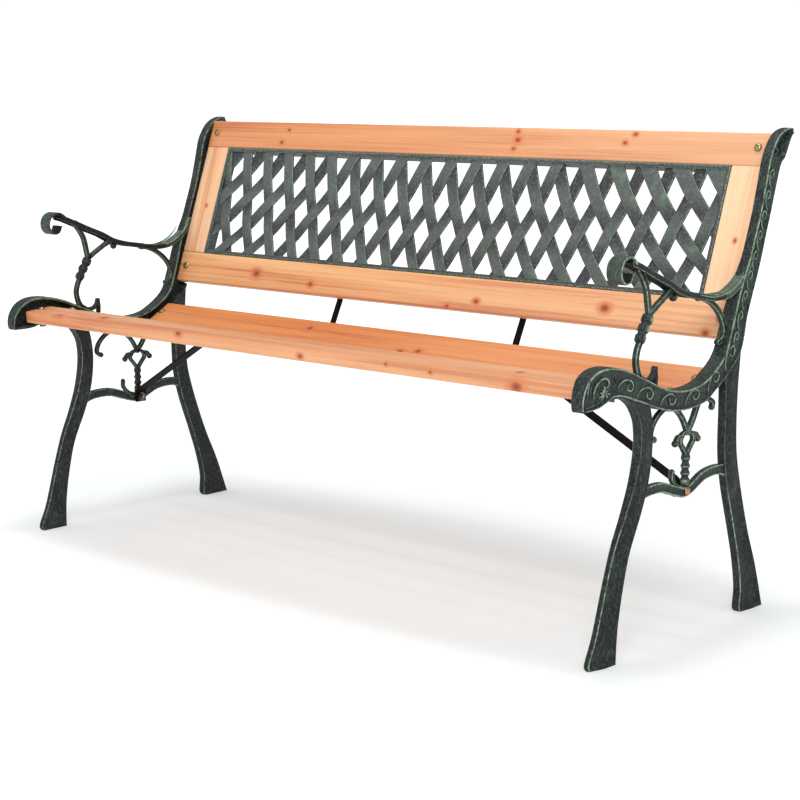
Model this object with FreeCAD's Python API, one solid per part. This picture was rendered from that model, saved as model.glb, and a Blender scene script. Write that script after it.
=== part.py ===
import FreeCAD, Part
import math
import os

# Garden bench: two cast-iron end frames, five seat slats, a framed backrest with a moulded
# lattice panel, two seat-to-back straps, two diagonal braces and their fasteners.
#
# Frame of the part: X runs along the bench, -Y is the front, +Z is up. The origin is on the
# floor, below the centre of the bounding box. Lengths are in millimetres. Outlines of the
# castings are drawn in the YZ plane as (y, z) points of the right-hand end frame.

V = FreeCAD.Vector
X_AXIS = V(1, 0, 0)
Y_AXIS = V(0, 1, 0)
Z_AXIS = V(0, 0, 1)

# ---------------------------------------------------------------- driving dimensions
FRAME_OUTER_X = 610.0        # outer face of an end frame, half of the bench's length
FRAME_WIDTH = 24.0           # width of the flanges
WEB_THICKNESS = 7.0          # plate between the flanges
RIM_THICKNESS = 5.5          # the flanges themselves
REAR_RIM_WIDTH = 13.0        # narrower, so that the back panel's ends can pass
LEG_X = (588.5, 607.5)
ORNAMENT_X = (589.0, 601.0)
ROD_X = (591.0, 599.0)       # the thin rods of the ornament
ARM_X = (586.0, 610.0)
ARM_TAIL_X = (589.0, 609.0)
ARM_BAND = 9.5

SLAT_HALF_LENGTH = 585.5
SLAT_WIDTH = 56.0
SLAT_THICKNESS = 20.0
EDGE_ROUND = 3.0
BOLT_X = 577.0               # bolt lines at the ends of the seat slats
# Top surface of each seat slat, front edge and rear edge.
SLAT_TOPS = [((-236, 399), (-188, 403)),
             ((-170, 400), (-116, 389)),
             ((-97, 384), (-44, 371)),
             ((-28, 365), (27, 361.5)),
             ((42, 359), (91, 386.5))]

# Backrest frame: its front plane passes through BACK_ORIGIN and leans back by BACK_LEAN.
BACK_ORIGIN = V(0, 141.7, 489.5)
BACK_LEAN = 19.51
BACK_HALF_LENGTH = 594.0
OPENING_HALF_LENGTH = 538.0
OPENING_LOW = -11.0
OPENING_HIGH = 193.0
BOTTOM_RAIL_LOW = -67.0
TOP_RAIL_HIGH = 244.0
BACK_THICKNESS = 18.0
BACK_BOLT_X = 576.0
BACK_BOLT_V = (-38.0, 221.0)

# Moulded lattice panel.
BORDER_WIDTH = 7.0
PANEL_DEPTH = 21.0
TONGUE = 5.0                 # tongue round the panel, held in a groove in rails and stiles
TONGUE_DEPTHS = (7.0, 13.0)
GROOVE_CLEARANCE = 0.3
STRIP_WIDTH = 21.5
STRIP_THICKNESS = 5.5
STRIP_DEPTHS = (2.0, 4.5)    # front of the two families of strips
STRIP_V = (-7.0, 97.0, 189.0)

# Steel parts.
STRAP_X = 201.0
STRAP_WIDTH = 12.0
STRAP_THICKNESS = 3.0
STRAP_START = 18.0           # a strap begins this far behind the front edge of the first slat
BRACE_WIDTH = 23.0
BRACE_TOP_Z = 342.5          # upper side of the brace's flat end, under the fourth slat
BRACE_BOLT = (17.0, 217.0)
BRACE_TOP_X = 385.0          # where the brace meets the underside of the fourth slat
BRACE_TURN = 5.4             # degrees: the brace runs this much forward of square
BRACE_TAB_GAP = 2.0          # the brace's lower tab stands this far inside the legs' inner face
BRACE_TAB_LOW = 9.0          # the tab's reach below the bolt
BRACE_TAB_HIGH = 13.0        # and above it
BRACE_TOP_LENGTH = 32.0      # flat end of the brace under the slat
BRACE_SCREW_OFFSET = 18.0    # screw in that flat end, from its bend
LUG_THICKNESS = 4.0
LUG_HALF_WIDTH = 14.0
LUG_INNER_X = 562.0
LUG_ROOT_LENGTH = 8.0        # thicker root of a lug, at the flanges
LUG_ROOT_HEIGHT = 16.0
EAR_INNER_X = 565.0          # ears behind the rails
HOLE_R = 3.3
SHANK_R = 3.0
WASHER_R = 8.0
WASHER_THICKNESS = 1.5
NUT_ACROSS_FLATS = 10.0
NUT_HEIGHT = 5.0
THREAD_BEYOND_NUT = 2.0
HEAD_R = 6.3
HEAD_HEIGHT = 3.8
SCREW_R = 2.0
SCREW_LENGTH = 14.0
RAIL_SCREW_V = -29.0         # height of the strap's screw in the lower back rail
DOWEL_R = 4.0
DOWEL_CLEARANCE = 0.05
DOWEL_HALF_LENGTH = 20.0
DOWEL_X = (553.0, 579.0)     # two dowels at each end of each stile

# Outline of the seat and back member. The top edge runs from the nose, over the seat and up
# the front of the back to the hooked tip; the lower edge runs from the nose to the same tip.
SEAT_TOP_EDGE = [(-258.5, 367), (-261.4, 380), (-257, 395), (-246.7, 408), (-233, 416.5),
                 (-205, 420.5), (-180, 418), (-153, 411), (-103, 392), (-70, 379),
                 (-33, 370), (3, 368), (38, 373), (67, 387), (92, 407), (110, 447),
                 (127, 495), (150, 542), (173, 603), (187, 653), (195, 684), (213, 712),
                 (240, 725.5), (259, 726.3)]
SEAT_LOWER_EDGE = [(-258.5, 367), (-236, 367.6), (-215, 370), (-203, 375.5), (-190, 379.5),
                   (-168, 377.5), (-137, 368.3), (-103, 357.5), (-67, 346.5), (-30, 340),
                   (10, 339.3), (50, 346), (75, 360), (110, 383), (141, 412)]
BACK_REAR_EDGE = [(141, 412), (146, 446), (160, 483), (180, 533), (200, 595), (212, 630),
                  (224, 668), (233, 682), (243, 685), (250, 700), (262, 719)]

FRONT_LEG_FRONT = [(-166, 376), (-149, 369), (-136, 361), (-126, 350), (-117.5, 335),
                   (-113.5, 305), (-122, 256), (-142, 206), (-160, 169.5), (-175, 128), (-201, 44), (-216.5, 5.7),
                   (-212, 0)]
FRONT_LEG_REAR = [(-98, 362), (-90, 335), (-87, 296), (-94, 247), (-109, 207), (-135, 153),
                  (-149, 102), (-158, 50), (-160, 14), (-160, 0)]
REAR_LEG_FRONT = [(106, 386), (110, 330), (113, 257), (123, 211), (150.5, 135), (167, 87),
                  (178, 38), (177, 5), (182, 0)]
REAR_LEG_REAR = [(141, 410), (137, 345), (141, 265), (152.6, 219), (185, 131),
                 (213, 71), (240, 0)]

STRETCHER = [(-108, 228), (-82, 232.5), (-48, 232), (-17, 223), (12, 215.5), (28, 218),
             (64, 232), (98, 235), (122, 232)]
STRETCHER_DEPTH = 15.0
STRETCHER_HOOK = [(-16.5, 249), (-16.5, 239), (-9, 230), (4, 221)]
BALUSTER_Y = 19.3
# Profile of the turned baluster: radius and height.
BALUSTER = [(6, 216), (6.5, 224), (7.2, 231), (5, 236.5), (7, 242), (5, 247), (7, 252.5),
            (5, 258), (6.8, 264), (5, 273)]
HEART_SIDE = [(19.3, 269), (9, 281), (2, 290), (6, 299), (19.3, 303)]
HEART_EAR = [(5, 297), (-3, 297.5), (-10.5, 289)]
HEART_WIDTH = 5.5
HEART_BALL_R = 5.2
V_ARM_RIGHT = [(19.3, 301), (33, 318), (47, 344)]
V_CURL = [(54, 352), (66, 346.5), (78, 342), (86, 336.5), (84.5, 330)]
V_CURL_BALL_R = 4.8
V_ARM_LEFT = [(20, 302), (6, 323), (-12, 338), (-35, 345), (-58, 337), (-73, 322),
              (-76, 309), (-68, 302)]
LEG_BALL = (-67, 303)
LEG_BALL_R = 5.0

ARM = [(-158, 555), (-143, 552.5), (-120, 544), (-87, 531), (-60, 521), (-33, 508.5),
       (0, 500.5), (25, 497), (60, 491.5), (85, 491.5), (102, 493.5), (118, 500)]
ARM_TAIL = [(102, 493.5), (118, 500), (131, 508), (142, 520.5), (151, 536)]
# The arm's front end rolls over, down and back up, and stays open just below the arm.
ARM_SCROLL = [(-149, 556.5), (-157, 561.5), (-168, 560.5), (-177, 554), (-180.5, 545),
              (-177, 535), (-168, 529.5), (-158.5, 532), (-154, 541)]
ARM_SCROLL_BAND = 4.0
ARM_BALL = (-30.5, 499)
ARM_BALL_R = 6.0
POST = [(-88, 484), (-95, 472), (-102, 462), (-107, 450), (-115.5, 435.5), (-119, 421),
        (-116, 407), (-109, 393)]
POST_WIDTH = 8.0
POST_KNUCKLES = [((-94, 474), 8.4), ((-102, 462), 8.2), ((-109, 450), 8.0)]
POST_LEFT_BRANCH = [(-90, 480), (-93, 492), (-100, 518), (-117, 543)]
POST_RIGHT_BRANCH = [(-90, 480), (-70, 492), (-42, 507)]
POST_HOOK = [(-108, 396), (-94, 389.5), (-81, 390.5), (-73.5, 397), (-71, 404)]
REAR_LOOP = [(36, 494), (56, 489), (76, 480), (94, 466), (105, 450), (108, 437), (103, 427.5),
             (93, 424)]


# ---------------------------------------------------------------- curves and plates
def point(yz):
    return V(0, yz[0], yz[1])


def spline(points):
    curve = Part.BSplineCurve()
    curve.interpolate([point(p) for p in points])
    return curve


def line(start, end):
    return Part.LineSegment(point(start), point(end)).toShape()


def offset_points(points, distance):
    """The points moved to the left of the curve's direction by distance."""
    curve = spline(points)
    moved = []
    for p in points:
        tangent = curve.tangent(curve.parameter(point(p)))[0]
        moved.append((p[0] - tangent.z * distance, p[1] + tangent.y * distance))
    return moved


def plate(edges, x_range):
    """A flat plate with the closed outline edges, from x_range[0] to x_range[1]."""
    face = Part.Face(Part.Wire(Part.__sortEdges__(edges)))
    face.translate(X_AXIS * x_range[0])
    return face.extrude(X_AXIS * (x_range[1] - x_range[0]))


def between(first, second, x_range):
    """The plate between two splines, closed by straight lines where their ends differ."""
    edges = [spline(first).toShape(), spline(second).toShape()]
    for a, b in ((first[0], second[0]), (first[-1], second[-1])):
        if a != b:
            edges.append(line(a, b))
    return plate(edges, x_range)


def rim(points, distance, x_range):
    """A flange that follows points and is as thick as distance, to the left if positive."""
    return between(points, offset_points(points, distance), x_range)


def disc(yz, radius, x_range):
    length = x_range[1] - x_range[0]
    return Part.makeCylinder(radius, length, V(x_range[0], yz[0], yz[1]), X_AXIS)


def band(centre_line, width, x_range):
    """A bar of constant width along a centre line, with round ends."""
    left = offset_points(centre_line, width / 2)
    right = offset_points(centre_line, -width / 2)
    ends = [disc(end, width / 2, x_range) for end in (centre_line[0], centre_line[-1])]
    return between(left, right, x_range).multiFuse(ends)


def ball(yz, radius):
    middle = (ORNAMENT_X[0] + ORNAMENT_X[1]) / 2
    return Part.makeSphere(radius, V(middle, yz[0], yz[1]))


def box(low, high):
    size = [b - a for a, b in zip(low, high)]
    return Part.makeBox(size[0], size[1], size[2], V(*low))


def mirrored_x(shape):
    return shape.mirror(V(0, 0, 0), X_AXIS)


def both_sides(shapes):
    return shapes + [mirrored_x(shape) for shape in shapes]


def one_solid(shape, name):
    solids = shape.removeSplitter().Solids
    if len(solids) != 1:
        raise ValueError("%s has %d solids" % (name, len(solids)))
    return solids[0]


# ---------------------------------------------------------------- local frames
def slat_placement(top):
    """Frame of a seat slat: origin in the middle of its top surface, local +Y to the rear."""
    (y0, z0), (y1, z1) = top
    tilt = math.degrees(math.atan2(z1 - z0, y1 - y0))
    middle = V(0, (y0 + y1) / 2, (z0 + z1) / 2)
    return FreeCAD.Placement(middle, FreeCAD.Rotation(X_AXIS, tilt))


def back_placement():
    """Frame of the backrest: local X along it, local Y its depth, local Z up the slope."""
    return FreeCAD.Placement(BACK_ORIGIN, FreeCAD.Rotation(X_AXIS, -BACK_LEAN))


def placed(shape, placement):
    moved = shape.copy()
    moved.Placement = placement.multiply(moved.Placement)
    return moved


# ---------------------------------------------------------------- end frame
def seat_and_back_member():
    """Web, and a flange along each edge; they meet in the blunt tip at the top."""
    inner = FRAME_OUTER_X - FRAME_WIDTH
    full = (inner, FRAME_OUTER_X)
    narrow = (FRAME_OUTER_X - REAR_RIM_WIDTH, FRAME_OUTER_X)
    web_x = (FRAME_OUTER_X - WEB_THICKNESS, FRAME_OUTER_X)
    outline = [spline(e).toShape() for e in (SEAT_TOP_EDGE, SEAT_LOWER_EDGE, BACK_REAR_EDGE)]
    outline.append(line(SEAT_TOP_EDGE[-1], BACK_REAR_EDGE[-1]))
    web = plate(outline, web_x)
    rims = [rim(SEAT_TOP_EDGE, -RIM_THICKNESS, full),
            rim(SEAT_LOWER_EDGE, RIM_THICKNESS, full),
            rim(BACK_REAR_EDGE, RIM_THICKNESS, narrow)]
    silhouette = plate(outline, full)
    return web.multiFuse(rims).common(silhouette)


def legs():
    return [between(FRONT_LEG_FRONT, FRONT_LEG_REAR, LEG_X),
            between(REAR_LEG_FRONT, REAR_LEG_REAR, LEG_X)]


def baluster():
    middle = (ORNAMENT_X[0] + ORNAMENT_X[1]) / 2
    profile = Part.BSplineCurve()
    profile.interpolate([V(middle, BALUSTER_Y + r, z) for r, z in BALUSTER])
    low = V(middle, BALUSTER_Y, BALUSTER[0][1])
    high = V(middle, BALUSTER_Y, BALUSTER[-1][1])
    edges = [profile.toShape(),
             Part.LineSegment(profile.EndPoint, high).toShape(),
             Part.LineSegment(high, low).toShape(),
             Part.LineSegment(low, profile.StartPoint).toShape()]
    return Part.Face(Part.Wire(edges)).revolve(low, Z_AXIS, 360)


def mirrored_y(points):
    """The points mirrored about the baluster's axis."""
    return [(2 * BALUSTER_Y - y, z) for y, z in points]


def under_seat_ornament():
    parts = [band(STRETCHER, STRETCHER_DEPTH, ORNAMENT_X),
             band(STRETCHER_HOOK, 5.5, ORNAMENT_X),
             baluster(),
             band(V_ARM_RIGHT, 7.5, ROD_X),
             band(V_ARM_LEFT, 6.5, ROD_X),
             band(V_CURL, 6.5, ROD_X),
             ball(V_CURL[-1], V_CURL_BALL_R),
             ball(LEG_BALL, LEG_BALL_R)]
    for side in (list, mirrored_y):
        ear = side(HEART_EAR)
        parts.append(band(side(HEART_SIDE), HEART_WIDTH, ROD_X))
        parts.append(band(ear, HEART_WIDTH, ROD_X))
        parts.append(ball(ear[-1], HEART_BALL_R))
    return parts


def arm():
    parts = [band(ARM, ARM_BAND, ARM_X),
             band(ARM_TAIL, ARM_BAND, ARM_TAIL_X),
             band(ARM_SCROLL, ARM_SCROLL_BAND, ARM_X),
             ball(ARM_BALL, ARM_BALL_R),
             band(POST, POST_WIDTH, ROD_X),
             band(POST_LEFT_BRANCH, 9.0, ROD_X),
             band(POST_RIGHT_BRANCH, 8.0, ROD_X),
             band(POST_HOOK, 6.5, ROD_X),
             band(REAR_LOOP, 8.5, ROD_X)]
    for centre, radius in POST_KNUCKLES:
        parts.append(ball(centre, radius))
    return parts


def seat_lugs():
    """Lugs under the ends of the slats; each has a thicker root inside the flanges."""
    lugs = []
    root_x = (FRAME_OUTER_X - FRAME_WIDTH, FRAME_OUTER_X - FRAME_WIDTH + LUG_ROOT_LENGTH)
    low = -SLAT_THICKNESS - LUG_THICKNESS
    for top in SLAT_TOPS:
        lug = box((LUG_INNER_X, -LUG_HALF_WIDTH, low),
                  (root_x[1], LUG_HALF_WIDTH, -SLAT_THICKNESS))
        root = box((root_x[0], -LUG_HALF_WIDTH, low),
                   (root_x[1], LUG_HALF_WIDTH, low + LUG_ROOT_HEIGHT))
        hole = Part.makeCylinder(HOLE_R, LUG_THICKNESS, V(BOLT_X, 0, low), Z_AXIS)
        lugs.append(placed(lug.fuse(root).cut(hole), slat_placement(top)))
    return lugs


def back_ears():
    ears = []
    rear = BACK_THICKNESS + LUG_THICKNESS
    for v in BACK_BOLT_V:
        ear = box((EAR_INNER_X, BACK_THICKNESS, v - LUG_HALF_WIDTH),
                  (FRAME_OUTER_X - WEB_THICKNESS + 1, rear, v + LUG_HALF_WIDTH))
        hole = Part.makeCylinder(HOLE_R, LUG_THICKNESS, V(BACK_BOLT_X, BACK_THICKNESS, v),
                                 Y_AXIS)
        ears.append(placed(ear.cut(hole), back_placement()))
    return ears


def end_frame():
    pieces = legs() + under_seat_ornament() + arm() + seat_lugs() + back_ears()
    casting = seat_and_back_member().multiFuse(pieces)
    bolt_hole = disc(BRACE_BOLT, HOLE_R, (LEG_X[0] - 5, LEG_X[1]))
    return one_solid(casting.cut(bolt_hole), "end frame")


# ---------------------------------------------------------------- timber
def rounded_board(low, high):
    """A board along X with its four long edges rounded."""
    board = box(low, high)
    long_edges = [e for e in board.Edges if abs(e.tangentAt(e.FirstParameter).x) > 0.99]
    return board.makeFillet(EDGE_ROUND, long_edges)


def seat_slat(top):
    half = SLAT_WIDTH / 2
    slat = rounded_board((-SLAT_HALF_LENGTH, -half, -SLAT_THICKNESS),
                         (SLAT_HALF_LENGTH, half, 0))
    for x in (-BOLT_X, BOLT_X):
        slat = slat.cut(Part.makeCylinder(HOLE_R, SLAT_THICKNESS,
                                          V(x, 0, -SLAT_THICKNESS), Z_AXIS))
    return placed(slat, slat_placement(top))


def panel_groove():
    """Groove for the lattice panel's tongue, as a solid to cut from the timber."""
    reach = TONGUE + GROOVE_CLEARANCE
    half = OPENING_HALF_LENGTH + reach
    return box((-half, TONGUE_DEPTHS[0] - GROOVE_CLEARANCE, OPENING_LOW - reach),
               (half, TONGUE_DEPTHS[1] + GROOVE_CLEARANCE, OPENING_HIGH + reach))


def dowel_places():
    """Centre of each dowel between stile and rail, in the backrest's frame."""
    places = []
    for v in (OPENING_LOW, OPENING_HIGH):
        for x in DOWEL_X:
            places.append(V(x, BACK_THICKNESS / 2, v))
            places.append(V(-x, BACK_THICKNESS / 2, v))
    return places


def dowel(centre, radius, half_length):
    return Part.makeCylinder(radius, 2 * half_length, centre - Z_AXIS * half_length, Z_AXIS)


def dowel_holes():
    radius = DOWEL_R + DOWEL_CLEARANCE
    return [dowel(p, radius, DOWEL_HALF_LENGTH + 1) for p in dowel_places()]


def back_rail(low, high, bolt_v):
    rail = rounded_board((-BACK_HALF_LENGTH, 0, low), (BACK_HALF_LENGTH, BACK_THICKNESS, high))
    cutters = [panel_groove()] + dowel_holes()
    for x in (-BACK_BOLT_X, BACK_BOLT_X):
        cutters.append(Part.makeCylinder(HOLE_R, BACK_THICKNESS, V(x, 0, bolt_v), Y_AXIS))
    return placed(rail.cut(cutters), back_placement())


def back_stile():
    stile = box((OPENING_HALF_LENGTH, 0, OPENING_LOW),
                (BACK_HALF_LENGTH, BACK_THICKNESS, OPENING_HIGH))
    return placed(stile.cut([panel_groove()] + dowel_holes()), back_placement())


# ---------------------------------------------------------------- lattice panel
def strip_edge(n):
    """Left edge of strip n of the family that leans right: x at the three heights STRIP_V.

    The strips fan out gently: they stand steeper and closer together towards +X."""
    middle = 66.5 + 56.1 * n - 0.307 * n**2 + 0.0196 * n**3
    lower_run = 52.5 - 3.05 * n + 0.292 * n**2 - 0.025 * n**3
    upper_run = 35.1 - 1.97 * n + 0.137 * n**2 - 0.011 * n**3
    return middle - lower_run, middle, middle + upper_run


def lattice_strip(n, front):
    xs = strip_edge(n)
    slope = (xs[2] - xs[0]) / (STRIP_V[2] - STRIP_V[0])
    width = STRIP_WIDTH * math.hypot(1, slope)
    left = [V(x, front, v) for x, v in zip(xs, STRIP_V)]
    right = [p + X_AXIS * width for p in left]
    edges = [Part.Arc(*left).toShape(),
             Part.LineSegment(left[2], right[2]).toShape(),
             Part.Arc(*reversed(right)).toShape(),
             Part.LineSegment(right[0], left[0]).toShape()]
    return Part.Face(Part.Wire(edges)).extrude(Y_AXIS * STRIP_THICKNESS)


def lattice_panel():
    rising = [lattice_strip(n, STRIP_DEPTHS[0]) for n in range(-11, 9)]
    falling = [mirrored_x(lattice_strip(n, STRIP_DEPTHS[1])) for n in range(-11, 9)]
    inside = OPENING_HALF_LENGTH - BORDER_WIDTH
    low = OPENING_LOW + BORDER_WIDTH
    high = OPENING_HIGH - BORDER_WIDTH
    window = box((-inside - 1, 0, low - 1), (inside + 1, PANEL_DEPTH, high + 1))
    strips = rising[0].multiFuse(rising[1:] + falling).common(window)
    border = box((-OPENING_HALF_LENGTH, 0, OPENING_LOW),
                 (OPENING_HALF_LENGTH, PANEL_DEPTH, OPENING_HIGH))
    tongue = box((-OPENING_HALF_LENGTH - TONGUE, TONGUE_DEPTHS[0], OPENING_LOW - TONGUE),
                 (OPENING_HALF_LENGTH + TONGUE, TONGUE_DEPTHS[1], OPENING_HIGH + TONGUE))
    opening = box((-inside, -1, low), (inside, PANEL_DEPTH + 1, high))
    frame = border.fuse(tongue).cut(opening)
    return one_solid(placed(frame.fuse(strips), back_placement()), "lattice panel")


# ---------------------------------------------------------------- flat-bar steel
def flat_bar(path, thickness, width):
    """A bent flat bar: path is its upper side in the YZ plane, width is along X, centred."""
    lower = []
    for i, p in enumerate(path):
        before = path[max(i - 1, 0)]
        after = path[min(i + 1, len(path) - 1)]
        directions = []
        for a, b in ((before, p), (p, after)):
            if a != b:
                length = math.hypot(b[0] - a[0], b[1] - a[1])
                directions.append(V(0, (b[0] - a[0]) / length, (b[1] - a[1]) / length))
        normals = [V(0, d.z, -d.y) for d in directions]
        bisector = normals[0] + normals[-1]
        bisector.normalize()
        reach = thickness / bisector.dot(normals[0])
        lower.append((p[0] + bisector.y * reach, p[1] + bisector.z * reach))
    outline = path + lower[::-1]
    edges = [line(a, b) for a, b in zip(outline, outline[1:] + outline[:1])]
    return plate(edges, (-width / 2, width / 2))


def slat_underside(top):
    """Front and rear edge of a slat's underside, as (y, z)."""
    placement = slat_placement(top)
    corners = []
    for side in (-1, 1):
        corner = placement.multVec(V(0, side * (SLAT_WIDTH / 2 - EDGE_ROUND), -SLAT_THICKNESS))
        corners.append((corner.y, corner.z))
    return corners


def back_of_rail(v):
    p = back_placement().multVec(V(0, BACK_THICKNESS, v))
    return (p.y, p.z)


def strap_path():
    """Upper side of a strap: under the five slats, then up behind the lower back rail."""
    path = []
    for top in SLAT_TOPS:
        path.extend(slat_underside(top))
    (y0, z0), (y1, z1) = path[:2]
    share = STRAP_START / math.hypot(y1 - y0, z1 - z0)
    path[0] = (y0 + share * (y1 - y0), z0 + share * (z1 - z0))
    path.extend([(125, 369), (149.5, 420)])
    path.extend([back_of_rail(-44), back_of_rail(-14)])
    return path


def slat_screw(top, x):
    """Frame of a screw that goes up into the middle of a slat, at a strap or brace."""
    return slat_placement(top).multiply(
        FreeCAD.Placement(V(x, 0, -SLAT_THICKNESS - STRAP_THICKNESS), FreeCAD.Rotation()))


def rail_screw(x):
    return back_placement().multiply(
        FreeCAD.Placement(V(x, BACK_THICKNESS + STRAP_THICKNESS, RAIL_SCREW_V),
                          FreeCAD.Rotation(X_AXIS, 90)))


def support_strap(x):
    strap = flat_bar(strap_path(), STRAP_THICKNESS, STRAP_WIDTH)
    strap.translate(X_AXIS * x)
    holes = [placed(screw_hole(), slat_screw(top, x)) for top in SLAT_TOPS]
    holes.append(placed(screw_hole(), rail_screw(x)))
    return strap.cut(holes)


def brace_path():
    """Upper side of a brace, as distance from the legs' inner face and height."""
    reach = LEG_X[0] - BRACE_TOP_X
    return [(BRACE_TAB_GAP, BRACE_BOLT[1] - BRACE_TAB_LOW),
            (BRACE_TAB_GAP, BRACE_BOLT[1] + BRACE_TAB_HIGH),
            (reach, BRACE_TOP_Z),
            (reach + BRACE_TOP_LENGTH, BRACE_TOP_Z)]


def brace_placement():
    turned = FreeCAD.Rotation(Z_AXIS, 90 + BRACE_TURN)
    return FreeCAD.Placement(V(LEG_X[0], BRACE_BOLT[0], 0), turned)


def brace_top_screw():
    local = V(0, LEG_X[0] - BRACE_TOP_X + BRACE_SCREW_OFFSET, BRACE_TOP_Z - STRAP_THICKNESS)
    return FreeCAD.Placement(brace_placement().multVec(local), FreeCAD.Rotation())


def diagonal_brace():
    bar = placed(flat_bar(brace_path(), STRAP_THICKNESS, BRACE_WIDTH), brace_placement())
    bolt_hole = disc(BRACE_BOLT, HOLE_R, (LEG_X[0] - 8, LEG_X[0] + 2))
    screw = placed(screw_hole(), brace_top_screw())
    return one_solid(bar.cut([bolt_hole, screw]), "brace")


# ---------------------------------------------------------------- fasteners
def domed_head(radius, height):
    rise = V(0, 0, height)
    side = math.sqrt(0.5)
    crown = Part.Arc(rise, V(radius * side, 0, height * side), V(radius, 0, 0)).toShape()
    edges = [crown, Part.LineSegment(V(radius, 0, 0), V(0, 0, 0)).toShape(),
             Part.LineSegment(V(0, 0, 0), rise).toShape()]
    return Part.Face(Part.Wire(edges)).revolve(V(0, 0, 0), Z_AXIS, 360)


def bolt(clamped):
    """Round-headed bolt: head above z = 0, shank down through the clamped thickness."""
    length = clamped + WASHER_THICKNESS + NUT_HEIGHT + THREAD_BEYOND_NUT
    shank = Part.makeCylinder(SHANK_R, length, V(0, 0, -length), Z_AXIS)
    return domed_head(HEAD_R, HEAD_HEIGHT).fuse(shank).removeSplitter()


def washer(clamped):
    low = V(0, 0, -clamped - WASHER_THICKNESS)
    ring = Part.makeCylinder(WASHER_R, WASHER_THICKNESS, low, Z_AXIS)
    return ring.cut(Part.makeCylinder(HOLE_R, WASHER_THICKNESS, low, Z_AXIS))


def nut(clamped):
    low = -clamped - WASHER_THICKNESS - NUT_HEIGHT
    corner_r = NUT_ACROSS_FLATS / math.sqrt(3)
    corners = []
    for i in range(7):
        angle = math.radians(60 * i)
        corners.append(V(corner_r * math.cos(angle), corner_r * math.sin(angle), low))
    hexagon = Part.Face(Part.makePolygon(corners)).extrude(Z_AXIS * NUT_HEIGHT)
    return hexagon.cut(Part.makeCylinder(SHANK_R, NUT_HEIGHT, V(0, 0, low), Z_AXIS))


def wood_screw():
    """Round-headed screw: head below z = 0, shank up through the bar into the timber."""
    head = domed_head(2 * SCREW_R, SCREW_R).mirror(V(0, 0, 0), Z_AXIS)
    shank = Part.makeCylinder(SCREW_R, SCREW_LENGTH, V(0, 0, 0), Z_AXIS)
    return head.fuse(shank).removeSplitter()


def screw_hole():
    return Part.makeCylinder(SCREW_R, SCREW_LENGTH, V(0, 0, 0), Z_AXIS)


def seat_bolt_places():
    places = []
    for top in SLAT_TOPS:
        for x in (-BOLT_X, BOLT_X):
            places.append(slat_placement(top).multiply(
                FreeCAD.Placement(V(x, 0, 0), FreeCAD.Rotation())))
    return places


def back_bolt_places():
    turned = FreeCAD.Rotation(X_AXIS, 90)
    places = []
    for v in BACK_BOLT_V:
        for x in (-BACK_BOLT_X, BACK_BOLT_X):
            places.append(back_placement().multiply(FreeCAD.Placement(V(x, 0, v), turned)))
    return places


def brace_bolt_places():
    """Frames whose local +Z points out of the bench, on the outer face of each stretcher."""
    places = []
    for side in (-1, 1):
        centre = V(side * ORNAMENT_X[1], BRACE_BOLT[0], BRACE_BOLT[1])
        places.append(FreeCAD.Placement(centre, FreeCAD.Rotation(Y_AXIS, 90 * side)))
    return places


def at_places(shape, places):
    return [placed(shape, place) for place in places]


def drilled(board, holes):
    return one_solid(board.cut(holes), "board")


# ---------------------------------------------------------------- all nodes
def screw_places_in_slats():
    return [[slat_screw(top, x) for x in (-STRAP_X, STRAP_X)] for top in SLAT_TOPS]


def brace_screw_places():
    right = brace_top_screw()
    left = FreeCAD.Placement(V(-right.Base.x, right.Base.y, right.Base.z), right.Rotation)
    return [left, right]


def nodes():
    right_frame = end_frame()
    result = {"end_frame_right": [right_frame], "end_frame_left": [mirrored_x(right_frame)]}
    screw_places = screw_places_in_slats()
    for i, top in enumerate(SLAT_TOPS):
        holes = at_places(screw_hole(), screw_places[i])
        if i == 3:
            holes = holes + at_places(screw_hole(), brace_screw_places())
        result["seat_slat_%d" % (i + 1)] = [drilled(seat_slat(top), holes)]
    back_screws = [rail_screw(x) for x in (-STRAP_X, STRAP_X)]
    lower_rail = back_rail(BOTTOM_RAIL_LOW, OPENING_LOW, BACK_BOLT_V[0])
    result["back_rail_bottom"] = [drilled(lower_rail, at_places(screw_hole(), back_screws))]
    result["back_rail_top"] = [back_rail(OPENING_HIGH, TOP_RAIL_HIGH, BACK_BOLT_V[1])]
    stile = back_stile()
    result["back_stile_right"] = [stile]
    result["back_stile_left"] = [mirrored_x(stile)]
    dowels = [dowel(p, DOWEL_R, DOWEL_HALF_LENGTH) for p in dowel_places()]
    result["stile_dowels"] = at_places(Part.makeCompound(dowels), [back_placement()])
    result["lattice_panel"] = [lattice_panel()]
    result["support_strap_right"] = [support_strap(STRAP_X)]
    result["support_strap_left"] = [support_strap(-STRAP_X)]
    brace = diagonal_brace()
    result["brace_right"] = [brace]
    result["brace_left"] = [mirrored_x(brace)]

    seat_grip = SLAT_THICKNESS + LUG_THICKNESS
    back_grip = BACK_THICKNESS + LUG_THICKNESS
    brace_grip = ORNAMENT_X[1] - LEG_X[0] + BRACE_TAB_GAP + STRAP_THICKNESS + 1.0
    groups = [("seat", seat_grip, seat_bolt_places()),
              ("back", back_grip, back_bolt_places()),
              ("brace", brace_grip, brace_bolt_places())]
    for name, grip, places in groups:
        result[name + "_bolts"] = at_places(bolt(grip), places)
        result[name + "_washers"] = at_places(washer(grip), places)
        result[name + "_nuts"] = at_places(nut(grip), places)
    result["strap_seat_screws"] = at_places(wood_screw(), sum(screw_places, []))
    result["strap_back_screws"] = at_places(wood_screw(), back_screws)
    result["brace_slat_screws"] = at_places(wood_screw(), brace_screw_places())
    return result


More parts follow.
